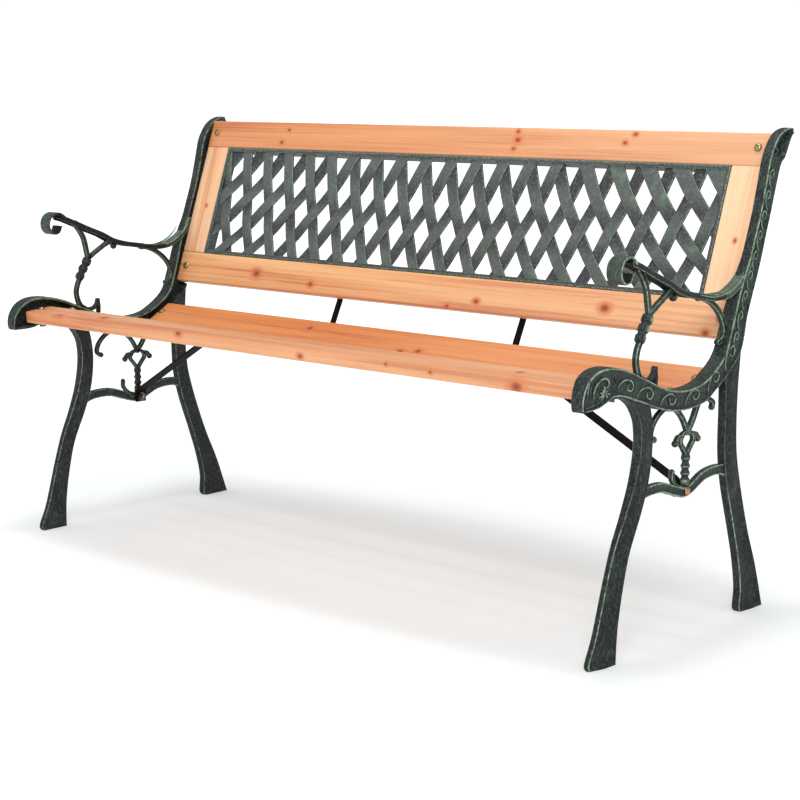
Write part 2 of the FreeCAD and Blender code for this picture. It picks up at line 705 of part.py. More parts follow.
os.makedirs("parts", exist_ok=True)
for node, solids in nodes().items():
    shape = solids[0] if len(solids) == 1 else Part.makeCompound(solids)
    shape.exportStep("parts/%s.step" % node)
    bounds = shape.BoundBox
    print("%-20s %2d solids %s x %.1f..%.1f y %.1f..%.1f z %.1f..%.1f" % (
        node, len(shape.Solids), "valid" if shape.isValid() else "INVALID",
        bounds.XMin, bounds.XMax, bounds.YMin, bounds.YMax, bounds.ZMin, bounds.ZMax))
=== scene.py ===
import math
import bmesh
import bpy
import numpy as np
from mathutils import Matrix, Vector, noise


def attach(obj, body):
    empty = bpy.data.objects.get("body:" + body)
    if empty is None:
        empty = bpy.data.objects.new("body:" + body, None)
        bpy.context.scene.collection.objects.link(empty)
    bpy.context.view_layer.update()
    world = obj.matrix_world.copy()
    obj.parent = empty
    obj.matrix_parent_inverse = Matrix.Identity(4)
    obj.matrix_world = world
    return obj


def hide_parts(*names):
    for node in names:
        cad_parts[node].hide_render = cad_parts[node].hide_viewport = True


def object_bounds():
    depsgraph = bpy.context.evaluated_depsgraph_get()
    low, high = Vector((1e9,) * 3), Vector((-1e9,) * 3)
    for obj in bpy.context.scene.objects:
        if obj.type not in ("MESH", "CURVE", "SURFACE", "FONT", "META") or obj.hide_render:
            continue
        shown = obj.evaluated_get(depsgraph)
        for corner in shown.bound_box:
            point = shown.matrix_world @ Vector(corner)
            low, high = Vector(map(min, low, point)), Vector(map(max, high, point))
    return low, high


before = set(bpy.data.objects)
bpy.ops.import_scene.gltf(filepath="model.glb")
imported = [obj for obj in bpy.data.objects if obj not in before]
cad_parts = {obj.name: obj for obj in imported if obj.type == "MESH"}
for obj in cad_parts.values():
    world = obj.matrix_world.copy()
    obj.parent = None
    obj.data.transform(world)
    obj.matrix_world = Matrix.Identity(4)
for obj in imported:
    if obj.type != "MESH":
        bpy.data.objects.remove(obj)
cad_box = [list(corner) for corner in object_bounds()]

# Garden bench. Lengths are in millimetres and become metres when a mesh is built.
# X runs along the bench, -Y is the front, +Z is up. Outlines of the castings are (y, z) points
# of the right-hand end frame, as in the CAD model.
MM = 0.001
SHARP_ANGLE = math.radians(42)

# -------- dimensions
OUTER_X = 610.0
RECESS_X = 607.0             # floor of the ornamented strip on the outer face
WEB_X = 603.0
FLANGE_X = 586.0
REAR_FLANGE_X = 597.0
LEG_X = (588.5, 607.5)
ORNAMENT_X = (589.0, 601.0)
ORNAMENT_MIDDLE = 595.0
ROD_X = (591.0, 599.0)       # the thin rods of the ornament
ARM_X = (587.0, 610.0)
ARM_WIDTH = 8.8
FLANGE = 5.5

SLAT_TOPS = [((-236, 399), (-188, 403)), ((-170, 400), (-116, 389)), ((-97, 384), (-44, 371)),
             ((-28, 365), (27, 361.5)), ((42, 359), (91, 386.5))]
SLAT_SIZE = (585.5, 28.0, 20.0)          # half length, half width, thickness
BOLT_X = 577.0
BACK_ORIGIN = (0.0, 141.7, 489.5)
BACK_LEAN = math.radians(19.51)
BACK_HALF = 594.0
BACK_THICKNESS = 18.0
OPENING_HALF = 538.0
OPENING = (-11.0, 193.0)
BOTTOM_RAIL_LOW = -67.0
TOP_RAIL_HIGH = 244.0
BACK_BOLT_X = 576.0
BACK_BOLT_V = (-38.0, 221.0)

# Seat and back member: pairs of points on its top edge and its lower edge, nose to tip.
MEMBER = [(-259.3, 369.5, -258.2, 366.9), (-261, 377, -254, 366.9), (-259.5, 390, -247, 367),
          (-248.5, 407, -236, 367.6), (-230, 417.5, -222, 369), (-205, 420.5, -206, 373.5),
          (-180, 418, -190, 379.5), (-153, 411, -165, 376.8), (-128, 401.5, -137, 368.3),
          (-103, 392, -112, 360.7),
          (-70, 379, -78, 349.5), (-33, 370, -38, 341), (3, 368, 3, 339), (38, 373, 47, 345),
          (58, 382, 72, 358), (75, 392, 95, 372), (88, 402, 115, 387), (98, 415, 135, 405),
          (106, 436, 143.5, 425), (116, 464, 150, 456), (127, 495, 163, 490),
          (138, 519, 174, 517), (150, 542, 184, 545), (162, 573, 194, 577),
          (173, 603, 203, 603), (184, 642, 214.5, 640), (195, 684, 228, 676),
          (203, 699, 240, 684), (214, 713, 246, 692), (229, 722.5, 251, 702),
          (246, 727, 256.5, 711.5), (257.5, 726.2, 261, 718.5)]
HOOK_RANGE = (680.0, 700.0)  # the outer face of the tip is hollowed, deepest above this range
HOOK_DEPTH = 9.0
REAR_FLANGE_FROM = 424.0     # above this height the rear flange stops short of the rails
FOOT_HOLLOW = 6.0            # depth of the hollow in the outer side of the feet

FRONT_LEG_FRONT = [(-166, 376), (-149, 369), (-136, 361), (-126, 350), (-117.5, 335),
                   (-113.5, 305), (-122, 256), (-142, 206), (-160, 169.5), (-175, 128),
                   (-201, 44), (-216.5, 5.7), (-212, 0)]
FRONT_LEG_REAR = [(-98, 362), (-90, 335), (-87, 296), (-94, 247), (-109, 207), (-135, 153),
                  (-149, 102), (-158, 50), (-160, 14), (-160, 0)]
REAR_LEG_FRONT = [(106, 386), (110, 330), (113, 257), (123, 211), (150.5, 135), (167, 87),
                  (178, 38), (177, 5), (182, 0)]
REAR_LEG_REAR = [(141, 410), (137, 345), (141, 265), (152.6, 219), (185, 131), (213, 71),
                 (240, 0)]

STRETCHER = [(-108, 228), (-82, 232.5), (-48, 232), (-17, 223), (12, 215.5), (28, 218),
             (64, 232), (98, 235), (122, 232)]
STRETCHER_HOOK = [(-16.5, 249), (-16.5, 239), (-9, 230), (4, 221)]
BALUSTER_Y = 19.3
BALUSTER = [(6, 216), (6.5, 224), (7.2, 231), (5.2, 236), (5.0, 237.5), (7.0, 242), (5.2, 246.5),
            (5.0, 248), (7.0, 252.5), (5.2, 257), (5.0, 259), (6.8, 264), (5.0, 273)]
HEART_SIDE = [(19.3, 269), (9, 281), (2, 290), (6, 299), (19.3, 303)]
HEART_EAR = [(5, 297), (-3, 297.5), (-10.5, 289)]
V_ARM_RIGHT = [(19.3, 301), (33, 318), (47, 344)]
V_CURL = [(54, 352), (66, 346.5), (78, 342), (86, 336.5), (84.5, 330)]
V_ARM_LEFT = [(20, 302), (6, 323), (-12, 338), (-35, 345), (-58, 337), (-73, 322),
              (-76, 309), (-68, 302)]
LEG_BALL = (-67, 303)

ARM = [(-150, 554), (-143, 552.5), (-120, 544), (-87, 531), (-60, 521), (-33, 508.5),
       (0, 500.5), (25, 497), (60, 491.5), (85, 491.5), (102, 493.5), (118, 500),
       (131, 507), (145, 519), (157, 537)]
# A raised line runs from the arm's upper edge into the front edge of the back member.
ARM_TAIL_LINE = [(15.5, 500), (49, 494), (76, 494), (100, 499), (117, 507), (128, 516),
                 (136, 526)]
# The arm's front end rolls over, down and back up, and stays open just below the arm.
ARM_SCROLL = [(-146, 555.5), (-156, 562.5), (-168, 562), (-177, 555.5), (-180.5, 545.5),
              (-178, 535), (-169, 528.5), (-159, 530.5), (-154, 540)]
SCROLL_X = (585.5, 610.0)
ARM_BALL = (-30.5, 499)
POST = [(-88, 484), (-95, 472), (-102, 462), (-107, 450), (-115.5, 435.5), (-119, 421),
        (-116, 407), (-109, 393)]
POST_LEFT_BRANCH = [(-90, 480), (-93, 492), (-100, 518), (-117, 543)]
POST_RIGHT_BRANCH = [(-90, 480), (-70, 492), (-42, 507)]
POST_HOOK = [(-108, 396), (-94, 389.5), (-81, 390.5), (-73.5, 397), (-71, 404)]
REAR_LOOP = [(36, 494), (56, 489), (76, 480), (94, 466), (105, 450), (108, 437), (103, 427.5),
             (93, 424)]

STRAP_X = 201.0
STRAP_SECTION = (12.0, 3.0)
STRAP_START = 18.0           # a strap begins this far behind the front edge of the first slat
BRACE_SECTION = (23.0, 3.0)
BRACE_TOP_Z = 342.5          # upper side of the brace's flat end
BRACE_BOLT = (17.0, 217.0)
BRACE_TOP_X = 385.0
BRACE_TURN = math.radians(5.4)
BRACE_REACH = 2.0

BORDER = 7.0
PANEL_DEPTH = 21.0
STRIP_WIDTH = 21.5
STRIP_V = (-7.0, 97.0, 189.0)
STRIP_NUMBERS = range(-12, 10)
STRIP_RINGS = 74
WEAVE_MIDDLE = 5.6           # depth of the strips' middle, and how far they swing about it
WEAVE_RISE = 1.6
STRIP_HALF_THICK = 1.8


# -------- curves
def unit(vectors):
    vectors = np.asarray(vectors, float)
    return vectors / np.linalg.norm(vectors, axis=-1, keepdims=True)


def even(points, step):
    """The same line with evenly spaced points, about step apart."""
    run = np.concatenate([[0], np.cumsum(np.linalg.norm(np.diff(points, axis=0), axis=1))])
    count = max(2, int(round(run[-1] / step)) + 1)
    at = np.linspace(0, run[-1], count)
    return np.column_stack([np.interp(at, run, column) for column in points.T])


def smooth(points, step=2.5):
    """A smooth curve through the points (centripetal Catmull-Rom), evenly sampled."""
    p = np.array(points, float)
    p = np.vstack([2 * p[0] - p[1], p, 2 * p[-1] - p[-2]])
    gaps = np.sqrt(np.linalg.norm(np.diff(p, axis=0), axis=1))
    knots = np.concatenate([[0], np.cumsum(gaps)])
    fine = []
    for i in range(1, len(p) - 2):
        k0, k1, k2, k3 = knots[i - 1:i + 3]
        t = np.linspace(k1, k2, 16, endpoint=False)[:, None]
        a1 = (k1 - t) / (k1 - k0) * p[i - 1] + (t - k0) / (k1 - k0) * p[i]
        a2 = (k2 - t) / (k2 - k1) * p[i] + (t - k1) / (k2 - k1) * p[i + 1]
        a3 = (k3 - t) / (k3 - k2) * p[i + 1] + (t - k2) / (k3 - k2) * p[i + 2]
        b1 = (k2 - t) / (k2 - k0) * a1 + (t - k0) / (k2 - k0) * a2
        b2 = (k3 - t) / (k3 - k1) * a2 + (t - k1) / (k3 - k1) * a3
        fine.append((k2 - t) / (k2 - k1) * b1 + (t - k1) / (k2 - k1) * b2)
    fine.append(p[-2:-1])
    return even(np.vstack(fine), step)


def left_normals(path):
    tangents = unit(np.gradient(path, axis=0))
    return np.column_stack([-tangents[:, 1], tangents[:, 0]])


def ease(value, low, high):
    """0 at low, 1 at high, with a smooth run between them."""
    t = np.clip((np.asarray(value, float) - low) / (high - low), 0, 1)
    return t * t * (3 - 2 * t)


# -------- mesh building
class Shells:
    """Closed shells that become one mesh.

    wear says how bare a point is rubbed (0 to 1), tone how dark or light its coat is; in the arm's
    scroll and the lattice, tone also carries painted light and shade."""

    def __init__(self):
        self.points = []
        self.faces = []
        self.wear = []
        self.tone = []

    def add_rings(self, rings, wear, tone=0.5, loop=False):
        """Joins rings of equally many points; capped ends, or closed on itself as a loop."""
        rings = np.asarray(rings, float)
        count, around = rings.shape[:2]
        first = len(self.points)
        self.points.extend(rings.reshape(-1, 3))
        self.wear.extend(np.broadcast_to(wear, (count, around)).ravel())
        self.tone.extend(np.broadcast_to(tone, (count, around)).ravel())
        for i in range(count if loop else count - 1):
            a = first + i * around
            b = first + (i + 1) % count * around
            for j in range(around):
                k = (j + 1) % around
                self.faces.append((a + j, a + k, b + k, b + j))
        if not loop:
            self.faces.append(tuple(range(first, first + around)))
            last = first + (count - 1) * around
            self.faces.append(tuple(range(last, last + around)))

    def build(self, name, material, placement=None, mirrored=False, inside_cad_box=False):
        points = np.array(self.points)
        if mirrored:
            points = points * (-1, 1, 1)
        points = points * MM
        if inside_cad_box:
            points = np.clip(points, cad_box[0], cad_box[1])
        mesh = bpy.data.meshes.new(name)
        mesh.from_pydata(points.tolist(), [], self.faces)
        for attribute, values in (("wear", self.wear), ("tone", self.tone)):
            layer = mesh.attributes.new(attribute, "FLOAT", "POINT")
            layer.data.foreach_set("value", np.array(values, np.float32))
        tidy_normals(mesh)
        mesh.materials.append(material)
        obj = bpy.data.objects.new(name, mesh)
        bpy.context.scene.collection.objects.link(obj)
        if placement is not None:
            obj.matrix_world = placement
        return obj


def tidy_normals(mesh):
    """Normals point outwards; edges sharper than SHARP_ANGLE are shaded as edges."""
    shape = bmesh.new()
    shape.from_mesh(mesh)
    bmesh.ops.recalc_face_normals(shape, faces=shape.faces)
    for face in shape.faces:
        face.smooth = True
    for edge in shape.edges:
        if len(edge.link_faces) == 2:
            edge.smooth = edge.calc_face_angle() < SHARP_ANGLE
    shape.to_mesh(mesh)
    shape.free()


def hand_in(obj, slot, *nodes):
    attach(obj, "root")
    if nodes:
        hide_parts(*nodes)


# -------- cast shapes
def between_edges(shells, edges, section, tone=0.5):
    """Sweeps section between two edges. edges has rows (y, z, y, z); section(width, middle)
    gives (distance from the first edge, x, wear) for each point of the outline."""
    rings = []
    wear = []
    for row in edges:
        first, second = row[:2], row[2:]
        width = np.linalg.norm(second - first)
        across = (second - first) / width
        outline = section(width, (first + second) / 2)
        rings.append([(x, *(first + across * d)) for d, x, _ in outline])
        wear.append([w for _, _, w in outline])
    shells.add_rings(rings, np.array(wear), tone)


def member_section(width, middle):
    """Channel section: raised rims round the ornamented strip outside, flanges inside. Where
    the member is narrow the web thickens until the section is solid, and the strip fills up.
    The front flange is narrower at the nose, up the back and at the tip."""
    k = min(1.0, width / 19)
    hollow = ease(middle[1], *HOOK_RANGE) * ease(width, 5, 16)
    floor = RECESS_X - HOOK_DEPTH * hollow
    floor += (OUTER_X - 1.1 - floor) * (1 - ease(width, 9, 15))
    slender = 1 - ease(width, 12, 26)
    top = FLANGE_X + 4.5 * (1 - ease(middle[0], -259, -236)) + 8 * ease(middle[1], 430, 560)
    top += 6 * ease(middle[0], 236, 262)
    lower_inner = max(REAR_FLANGE_X, top) if middle[1] > REAR_FLANGE_FROM else top
    web = WEB_X - 8.5 * hollow
    web += (lower_inner + 1.5 - web) * slender
    rim_x = OUTER_X - 2.0 * hollow
    rim_wear = 1.0 - 0.9 * hollow
    return [(0, top + 1.2, 0.4), (0, 607.6, 0.45), (0.5 * k, 609.2, 0.9), (1.5 * k, OUTER_X, 1.0),
            (2.8 * k, 609.9, 0.65), (4.0 * k, 609.0, 0.3), (5.4 * k, floor + 0.5, 0.05),
            (7.2 * k, floor, 0.0), (0.5 * width, floor - 0.3, 0.0), (width - 6.6 * k, floor, 0.0),
            (width - 4.8 * k, floor + 0.5, 0.05), (width - 3.5 * k, rim_x - 1.0, 0.3 * rim_wear),
            (width - 2.5 * k, rim_x - 0.1, 0.65 * rim_wear),
            (width - 1.3 * k, rim_x, rim_wear), (width - 0.5 * k, rim_x - 0.8, rim_wear),
            (width, 607.4 - 2 * hollow, 0.45 * rim_wear),
            (width, lower_inner + 1.2, 0.3), (width - 1.2 * k, lower_inner, 0.35),
            (width - (FLANGE - 1.2) * k, lower_inner, 0.25),
            (width - FLANGE * k, lower_inner + 1.2, 0.1), (width - FLANGE * k, web, 0.0),
            (FLANGE * k, web, 0.0), (FLANGE * k, top + 1.2, 0.1),
            ((FLANGE - 1.2) * k, top, 0.6), (1.2 * k, top, 0.9)]


def leg_section(inner, edge_low, edge_high):
    """Section of a leg: its front face runs from x = inner to a bead, which stands at edge_low
    on the foot and at edge_high near the seat; the outer side is hollowed in the foot."""
    def section(width, middle):
        height = middle[1]
        hollow = FOOT_HOLLOW * ease(height, 230, 100) * ease(height, 3.0, 14)
        bead = edge_low + (edge_high - edge_low) * float(ease(height, 130, 300))
        line = 1.0 - 0.3 * float(ease(height, 150, 230))
        high = LEG_X[1]
        rise = high - bead
        return [(0, inner + 1.8, 0.55), (0, bead - 0.8, 0.5), (0.5, bead, line),
                (1.6, bead + 0.4, line), (3.0, bead + 0.2, 0.5), (4.6, bead - 0.3 * hollow, 0.1),
                (0.28 * width, bead + 0.45 * rise - 0.8 * hollow, 0.0),
                (0.5 * width, bead + 0.8 * rise - hollow, 0.0),
                (0.75 * width, high - 0.9 - 0.75 * hollow, 0.0),
                (width - 4.0, high - 0.7 - 0.2 * hollow, 0.1), (width - 2.6, high - 0.3, 0.45),
                (width - 1.4, high, 0.75), (width - 0.4, high - 0.6, 0.75),
                (width, high - 1.8, 0.4), (width, inner + 1.4, 0.5), (width - 1.4, inner, 0.85),
                (width - 3.2, inner, 0.3), (3.2, inner, 0.3), (1.6, inner, 0.85)]
    return section


def pair_edges(first, second, step):
    """Rows (y, z, y, z) that join two edges, evenly along both."""
    a = smooth(first, 1.0)
    b = smooth(second, 1.0)
    count = int(max(len(a), len(b)) / step)
    at = np.linspace(0, 1, count)
    columns = [np.interp(at, np.linspace(0, 1, len(e)), c) for e in (a, b) for c in e.T]
    return np.column_stack(columns)


def round_ends(path, half):
    """Adds points past both ends of a path, with half widths that close in a half circle."""
    turns = np.radians([24, 46, 66, 84])
    start = unit(path[0] - path[1])
    end = unit(path[-1] - path[-2])
    before = [path[0] + start * half[0] * math.sin(a) for a in turns[::-1]]
    after = [path[-1] + end * half[-1] * math.sin(a) for a in turns]
    halves = [half[0] * np.cos(turns[::-1]), half, half[-1] * np.cos(turns)]
    return np.vstack([before, path, after]), np.concatenate(halves)


def bar_outline(x_range, groove, channel):
    """Outline of a cast bar: (share of the half width, x, wear), grooved on its outer side and,
    with channel, hollowed from below."""
    low, high = x_range
    below = [(-1, low + 3.2, 0.5), (-0.15, low + 4.2, 0), (-0.15, high - 4.2, 0),
             (-1, high - 3.2, 0.5)] if channel else []
    return [(-1, low + 1.6, 0.5), *below, (-1, high - 1.8, 0.6), (-0.93, high - 0.6, 1.0),
            (-0.76, high, 0.95), (-0.58, high - 0.35, 0.45), (-0.36, high - groove, 0.0),
            (0.0, high - 1.15 * groove, 0.0), (0.36, high - groove, 0.0),
            (0.58, high - 0.35, 0.45), (0.76, high, 0.95), (0.93, high - 0.6, 1.0),
            (1, high - 1.8, 0.6), (1, low + 1.6, 0.55), (0.86, low + 0.3, 0.9),
            (0.5, low, 0.3), (-0.5, low, 0.3), (-0.86, low + 0.3, 0.9)]


def bar(shells, points, width, x_range, groove=1.1, flare=(0, 0), tone=0.5, worn=1.0,
        channel=False):
    """A cast bar along a curve, with round ends; flare widens it where it joins others.
    x_range holds its inner and outer face, or the same for its start and its end."""
    step = 2.5
    path = smooth(points, step)
    run = np.linspace(0, 1, len(path)) * step * (len(path) - 1)
    half = width / 2 * np.ones(len(path))
    half += flare[0] * np.exp(-run / 5) + flare[1] * np.exp(-(run[-1] - run) / 5)
    path, half = round_ends(path, half)
    normals = left_normals(path)
    faces = np.array(x_range, float).reshape(-1, 2)
    shares = np.linspace(0, 1, len(path))
    rings = []
    for share, p, n, h in zip(shares, path, normals, half):
        outline = bar_outline(faces[0] + (faces[-1] - faces[0]) * share, groove, channel)
        rings.append([(x, *(p + n * h * a)) for a, x, _ in outline])
    shells.add_rings(rings, [w * worn for _, _, w in outline], tone)


def turned(shells, points, radii, x, sides=20, tone=0.5, step=1.0):
    """A turned shape along a curve: radii are (share of the length, radius) pairs."""
    path = smooth(points, step)
    share = np.linspace(0, 1, len(path))
    profile = smooth(radii, 0.02) if len(radii) > 2 else np.array(radii, float)
    radius = np.interp(share, profile[:, 0], profile[:, 1])
    normals = left_normals(path)
    angles = np.linspace(0, 2 * math.pi, sides, endpoint=False)
    rings = [[(x + r * math.sin(a), *(p + n * r * math.cos(a))) for a in angles]
             for p, n, r in zip(path, normals, radius)]
    swell = ease(radius, radius.min() + 0.35 * np.ptp(radius), radius.max())
    outward = 0.5 + 0.5 * np.clip(np.sin(angles + 0.7), 0, 1)
    shells.add_rings(rings, 0.1 + 0.85 * swell[:, None] * outward, tone)


def ball(shells, yz, radius, x=ORNAMENT_MIDDLE, tone=0.5, sides=20):
    turns = np.radians(np.linspace(2, 178, 13))
    angles = np.linspace(0, 2 * math.pi, sides, endpoint=False)
    rings = [[(x + radius * math.cos(t), yz[0] + radius * math.sin(t) * math.cos(a),
               yz[1] + radius * math.sin(t) * math.sin(a)) for a in angles] for t in turns]
    wear = 0.15 + 0.6 * np.clip(np.cos(turns), 0, 1)
    shells.add_rings(rings, wear[:, None], tone)


def ridge(shells, points, radius, x, wear=1.0, tone=0.55, sides=8):
    """A raised line on a face at x, tapered at both ends."""
    path = smooth(points, 1.2)
    share = np.linspace(0, 1, len(path))
    taper = 0.25 + 0.75 * np.minimum(1, 5 * np.minimum(share, 1 - share)) ** 0.6
    normals = left_normals(path)
    angles = np.linspace(0, 2 * math.pi, sides, endpoint=False)
    rings = [[(x + r * math.sin(a), *(p + n * r * math.cos(a))) for a in angles]
             for p, n, r in zip(path, normals, radius * taper)]
    crest = np.clip(np.sin(angles), 0, 1)
    shells.add_rings(rings, wear * (0.15 + 0.85 * crest), tone)


# A running scroll in its own unit: u along the member, v towards its top edge.
RUNNING_SCROLL = [(-1.8, -0.95), (-1.6, -0.2), (-0.85, 0.45), (0.0, 0.7), (0.7, 0.65),
                  (1.25, 0.35), (1.3, -0.2), (0.8, -0.5), (0.2, -0.4), (0.05, 0.0),
                  (0.45, 0.25)]
# Middle of each scroll on the seat part of the member (y, z); all have the same size.
SEAT_SCROLLS = [(-157, 391.5), (-108, 375), (-50, 359), (12, 356.5), (66, 373), (108, 404)]
SEAT_SCROLL_SIZE = 11.5
BACK_SCROLL_SIZE = 8.5
BACK_SCROLL_STEP = 31.0
BACK_SCROLL_Z = (425.0, 680.0)
SCROLL_LEAF = [(1.2, 0.9), (1.55, 0.3), (1.7, -0.5)]
# Raised lines in the nose: points, radius, wear.
NOSE_RIDGES = [([(-233, 381), (-234.5, 391.5), (-227, 402), (-214, 407.5), (-203.5, 405),
                 (-200, 398.5), (-206, 394.5), (-213.5, 397)], 1.9, 1.0),
               ([(-248.5, 389), (-247.5, 397), (-243.5, 404.5)], 1.4, 1.0),
               ([(-242.5, 388), (-242, 395), (-239.5, 402)], 1.2, 0.8),
               ([(-252, 372.5), (-236, 374), (-218, 377.5)], 1.3, 0.8),
               ([(-194, 409), (-185, 404), (-179, 394)], 1.5, 0.6)]
NOSE_LEAF = (-209.0, 386.5)
NOSE_LEAF_RAYS = [(196, 14), (165, 10), (130, 9), (222, 11), (-6, 14), (-38, 10), (95, 9),
                  (38, 10)]              # direction in degrees, length
# Curls in the hollow of the tip: points, depth below the ornamented strip.
TIP_CURLS = [([(215, 713), (223, 707), (223, 701), (216, 701), (214, 706)], 5.0),
             ([(207, 695), (216, 698), (222, 694), (216, 689), (210, 691)], 3.0)]
TIP_KNOB = (240.5, 687.5)


def relief(shells, rows):
    """The ornament on the outer face: a large scroll and leaf in the nose, a running scroll
    up the whole member, and two curls in the hollow of the tip."""
    middles = (rows[:, :2] + rows[:, 2:]) / 2
    tangents = unit(np.gradient(middles, axis=0))
    x = RECESS_X + 0.3
    spots = [(np.array(spot, float), SEAT_SCROLL_SIZE) for spot in SEAT_SCROLLS]
    back = even(middles[middles[:, 1] > BACK_SCROLL_Z[0]], BACK_SCROLL_STEP)
    spots += [(spot, BACK_SCROLL_SIZE) for spot in back if spot[1] < BACK_SCROLL_Z[1]]
    for spot, size in spots:
        i = np.linalg.norm(middles - spot, axis=1).argmin()
        along = tangents[i] * size
        up = np.array([-tangents[i][1], tangents[i][0]]) * size
        points = [spot + along * u + up * v for u, v in RUNNING_SCROLL]
        ridge(shells, points, 1.6, x)
        ball(shells, points[-1], 1.8, x, tone=0.6, sides=10)
        leaf = [spot + along * u + up * v for u, v in SCROLL_LEAF]
        ridge(shells, leaf, 1.2, x, 0.5, 0.4)
    for points, radius, wear in NOSE_RIDGES:
        ridge(shells, points, radius, x, wear)
    heart = np.array(NOSE_LEAF)
    for angle, length in NOSE_LEAF_RAYS:
        way = np.array((math.cos(math.radians(angle)), math.sin(math.radians(angle))))
        ridge(shells, [heart + way * 1.5, heart + way * length * 0.55, heart + way * length],
              1.6, x, 1.0, 1.0)
    ball(shells, heart, 3.2, x, tone=1.0, sides=12)
    for points, depth in TIP_CURLS:
        ridge(shells, points, 2.2, x - depth, 0.6)
    ball(shells, TIP_KNOB, 4.6, OUTER_X - 6.5, tone=1.0, sides=14)


def seat_lugs(shells):
    """Lugs under the ends of the slats."""
    for (y0, z0), (y1, z1) in SLAT_TOPS:
        tilt = math.atan2(z1 - z0, y1 - y0)
        along = np.array((math.cos(tilt), math.sin(tilt)))
        up = np.array((-along[1], along[0]))
        middle = np.array(((y0 + y1) / 2, (z0 + z1) / 2))
        plate_block(shells, middle - up * SLAT_SIZE[2], along, up, (562, 594), 14, (-4, 0))
        plate_block(shells, middle - up * SLAT_SIZE[2], along, up, (585.6, 594), 14, (-4, 12))


def plate_block(shells, origin, along, up, x_range, half, heights):
    """A cast plate with softened long edges, square to up."""
    low, high = heights
    soft = 1.2
    outline = [(-half + soft, low), (half - soft, low), (half, low + soft), (half, high - soft),
               (half - soft, high), (-half + soft, high), (-half, high - soft),
               (-half, low + soft)]
    rings = [[(x, *(origin + along * a + up * h)) for a, h in outline] for x in x_range]
    shells.add_rings(rings, 0.35, 0.4)


def back_ears(shells):
    back = np.array((math.sin(BACK_LEAN), math.cos(BACK_LEAN)))
    depth = np.array((math.cos(BACK_LEAN), -math.sin(BACK_LEAN)))
    origin = np.array(BACK_ORIGIN[1:])
    for v in BACK_BOLT_V:
        spot = origin + back * v + depth * BACK_THICKNESS
        plate_block(shells, spot, back, depth, (565, 604), 14, (0, 4))


def arm_scroll(shells):
    """The arm's rolled front end: a thin band that leaves a dark, open loop. Painted shade darkens
    the band's inner side, inside the loop.
    """
    path = smooth(ARM_SCROLL, 2.0)
    half = np.interp(np.linspace(0, 1, len(path)), [0, 0.15, 1], [3.4, 2.0, 1.6])
    path, half = round_ends(path, half)
    normals = left_normals(path)
    low, high = SCROLL_X
    outline = [(-1, low + 1, 0.3), (-1, high - 1.2, 0.5), (-0.6, high, 1.0), (0.6, high, 0.8),
               (1, high - 1.2, 0.3), (1, low + 1, 0.0), (0.6, low, 0.2), (-0.6, low, 0.3)]
    rings = [[(x, *(p + n * h * a)) for a, x, _ in outline]
             for p, n, h in zip(path, normals, half)]
    # Painted shade: the band's inner side, facing into the loop, gets a dark tone, its outer side
    # a light one.
    tones = [0.0 if share > 0.5 else 0.8 for share, _, _ in outline]
    shells.add_rings(rings, [w for _, _, w in outline], tones)


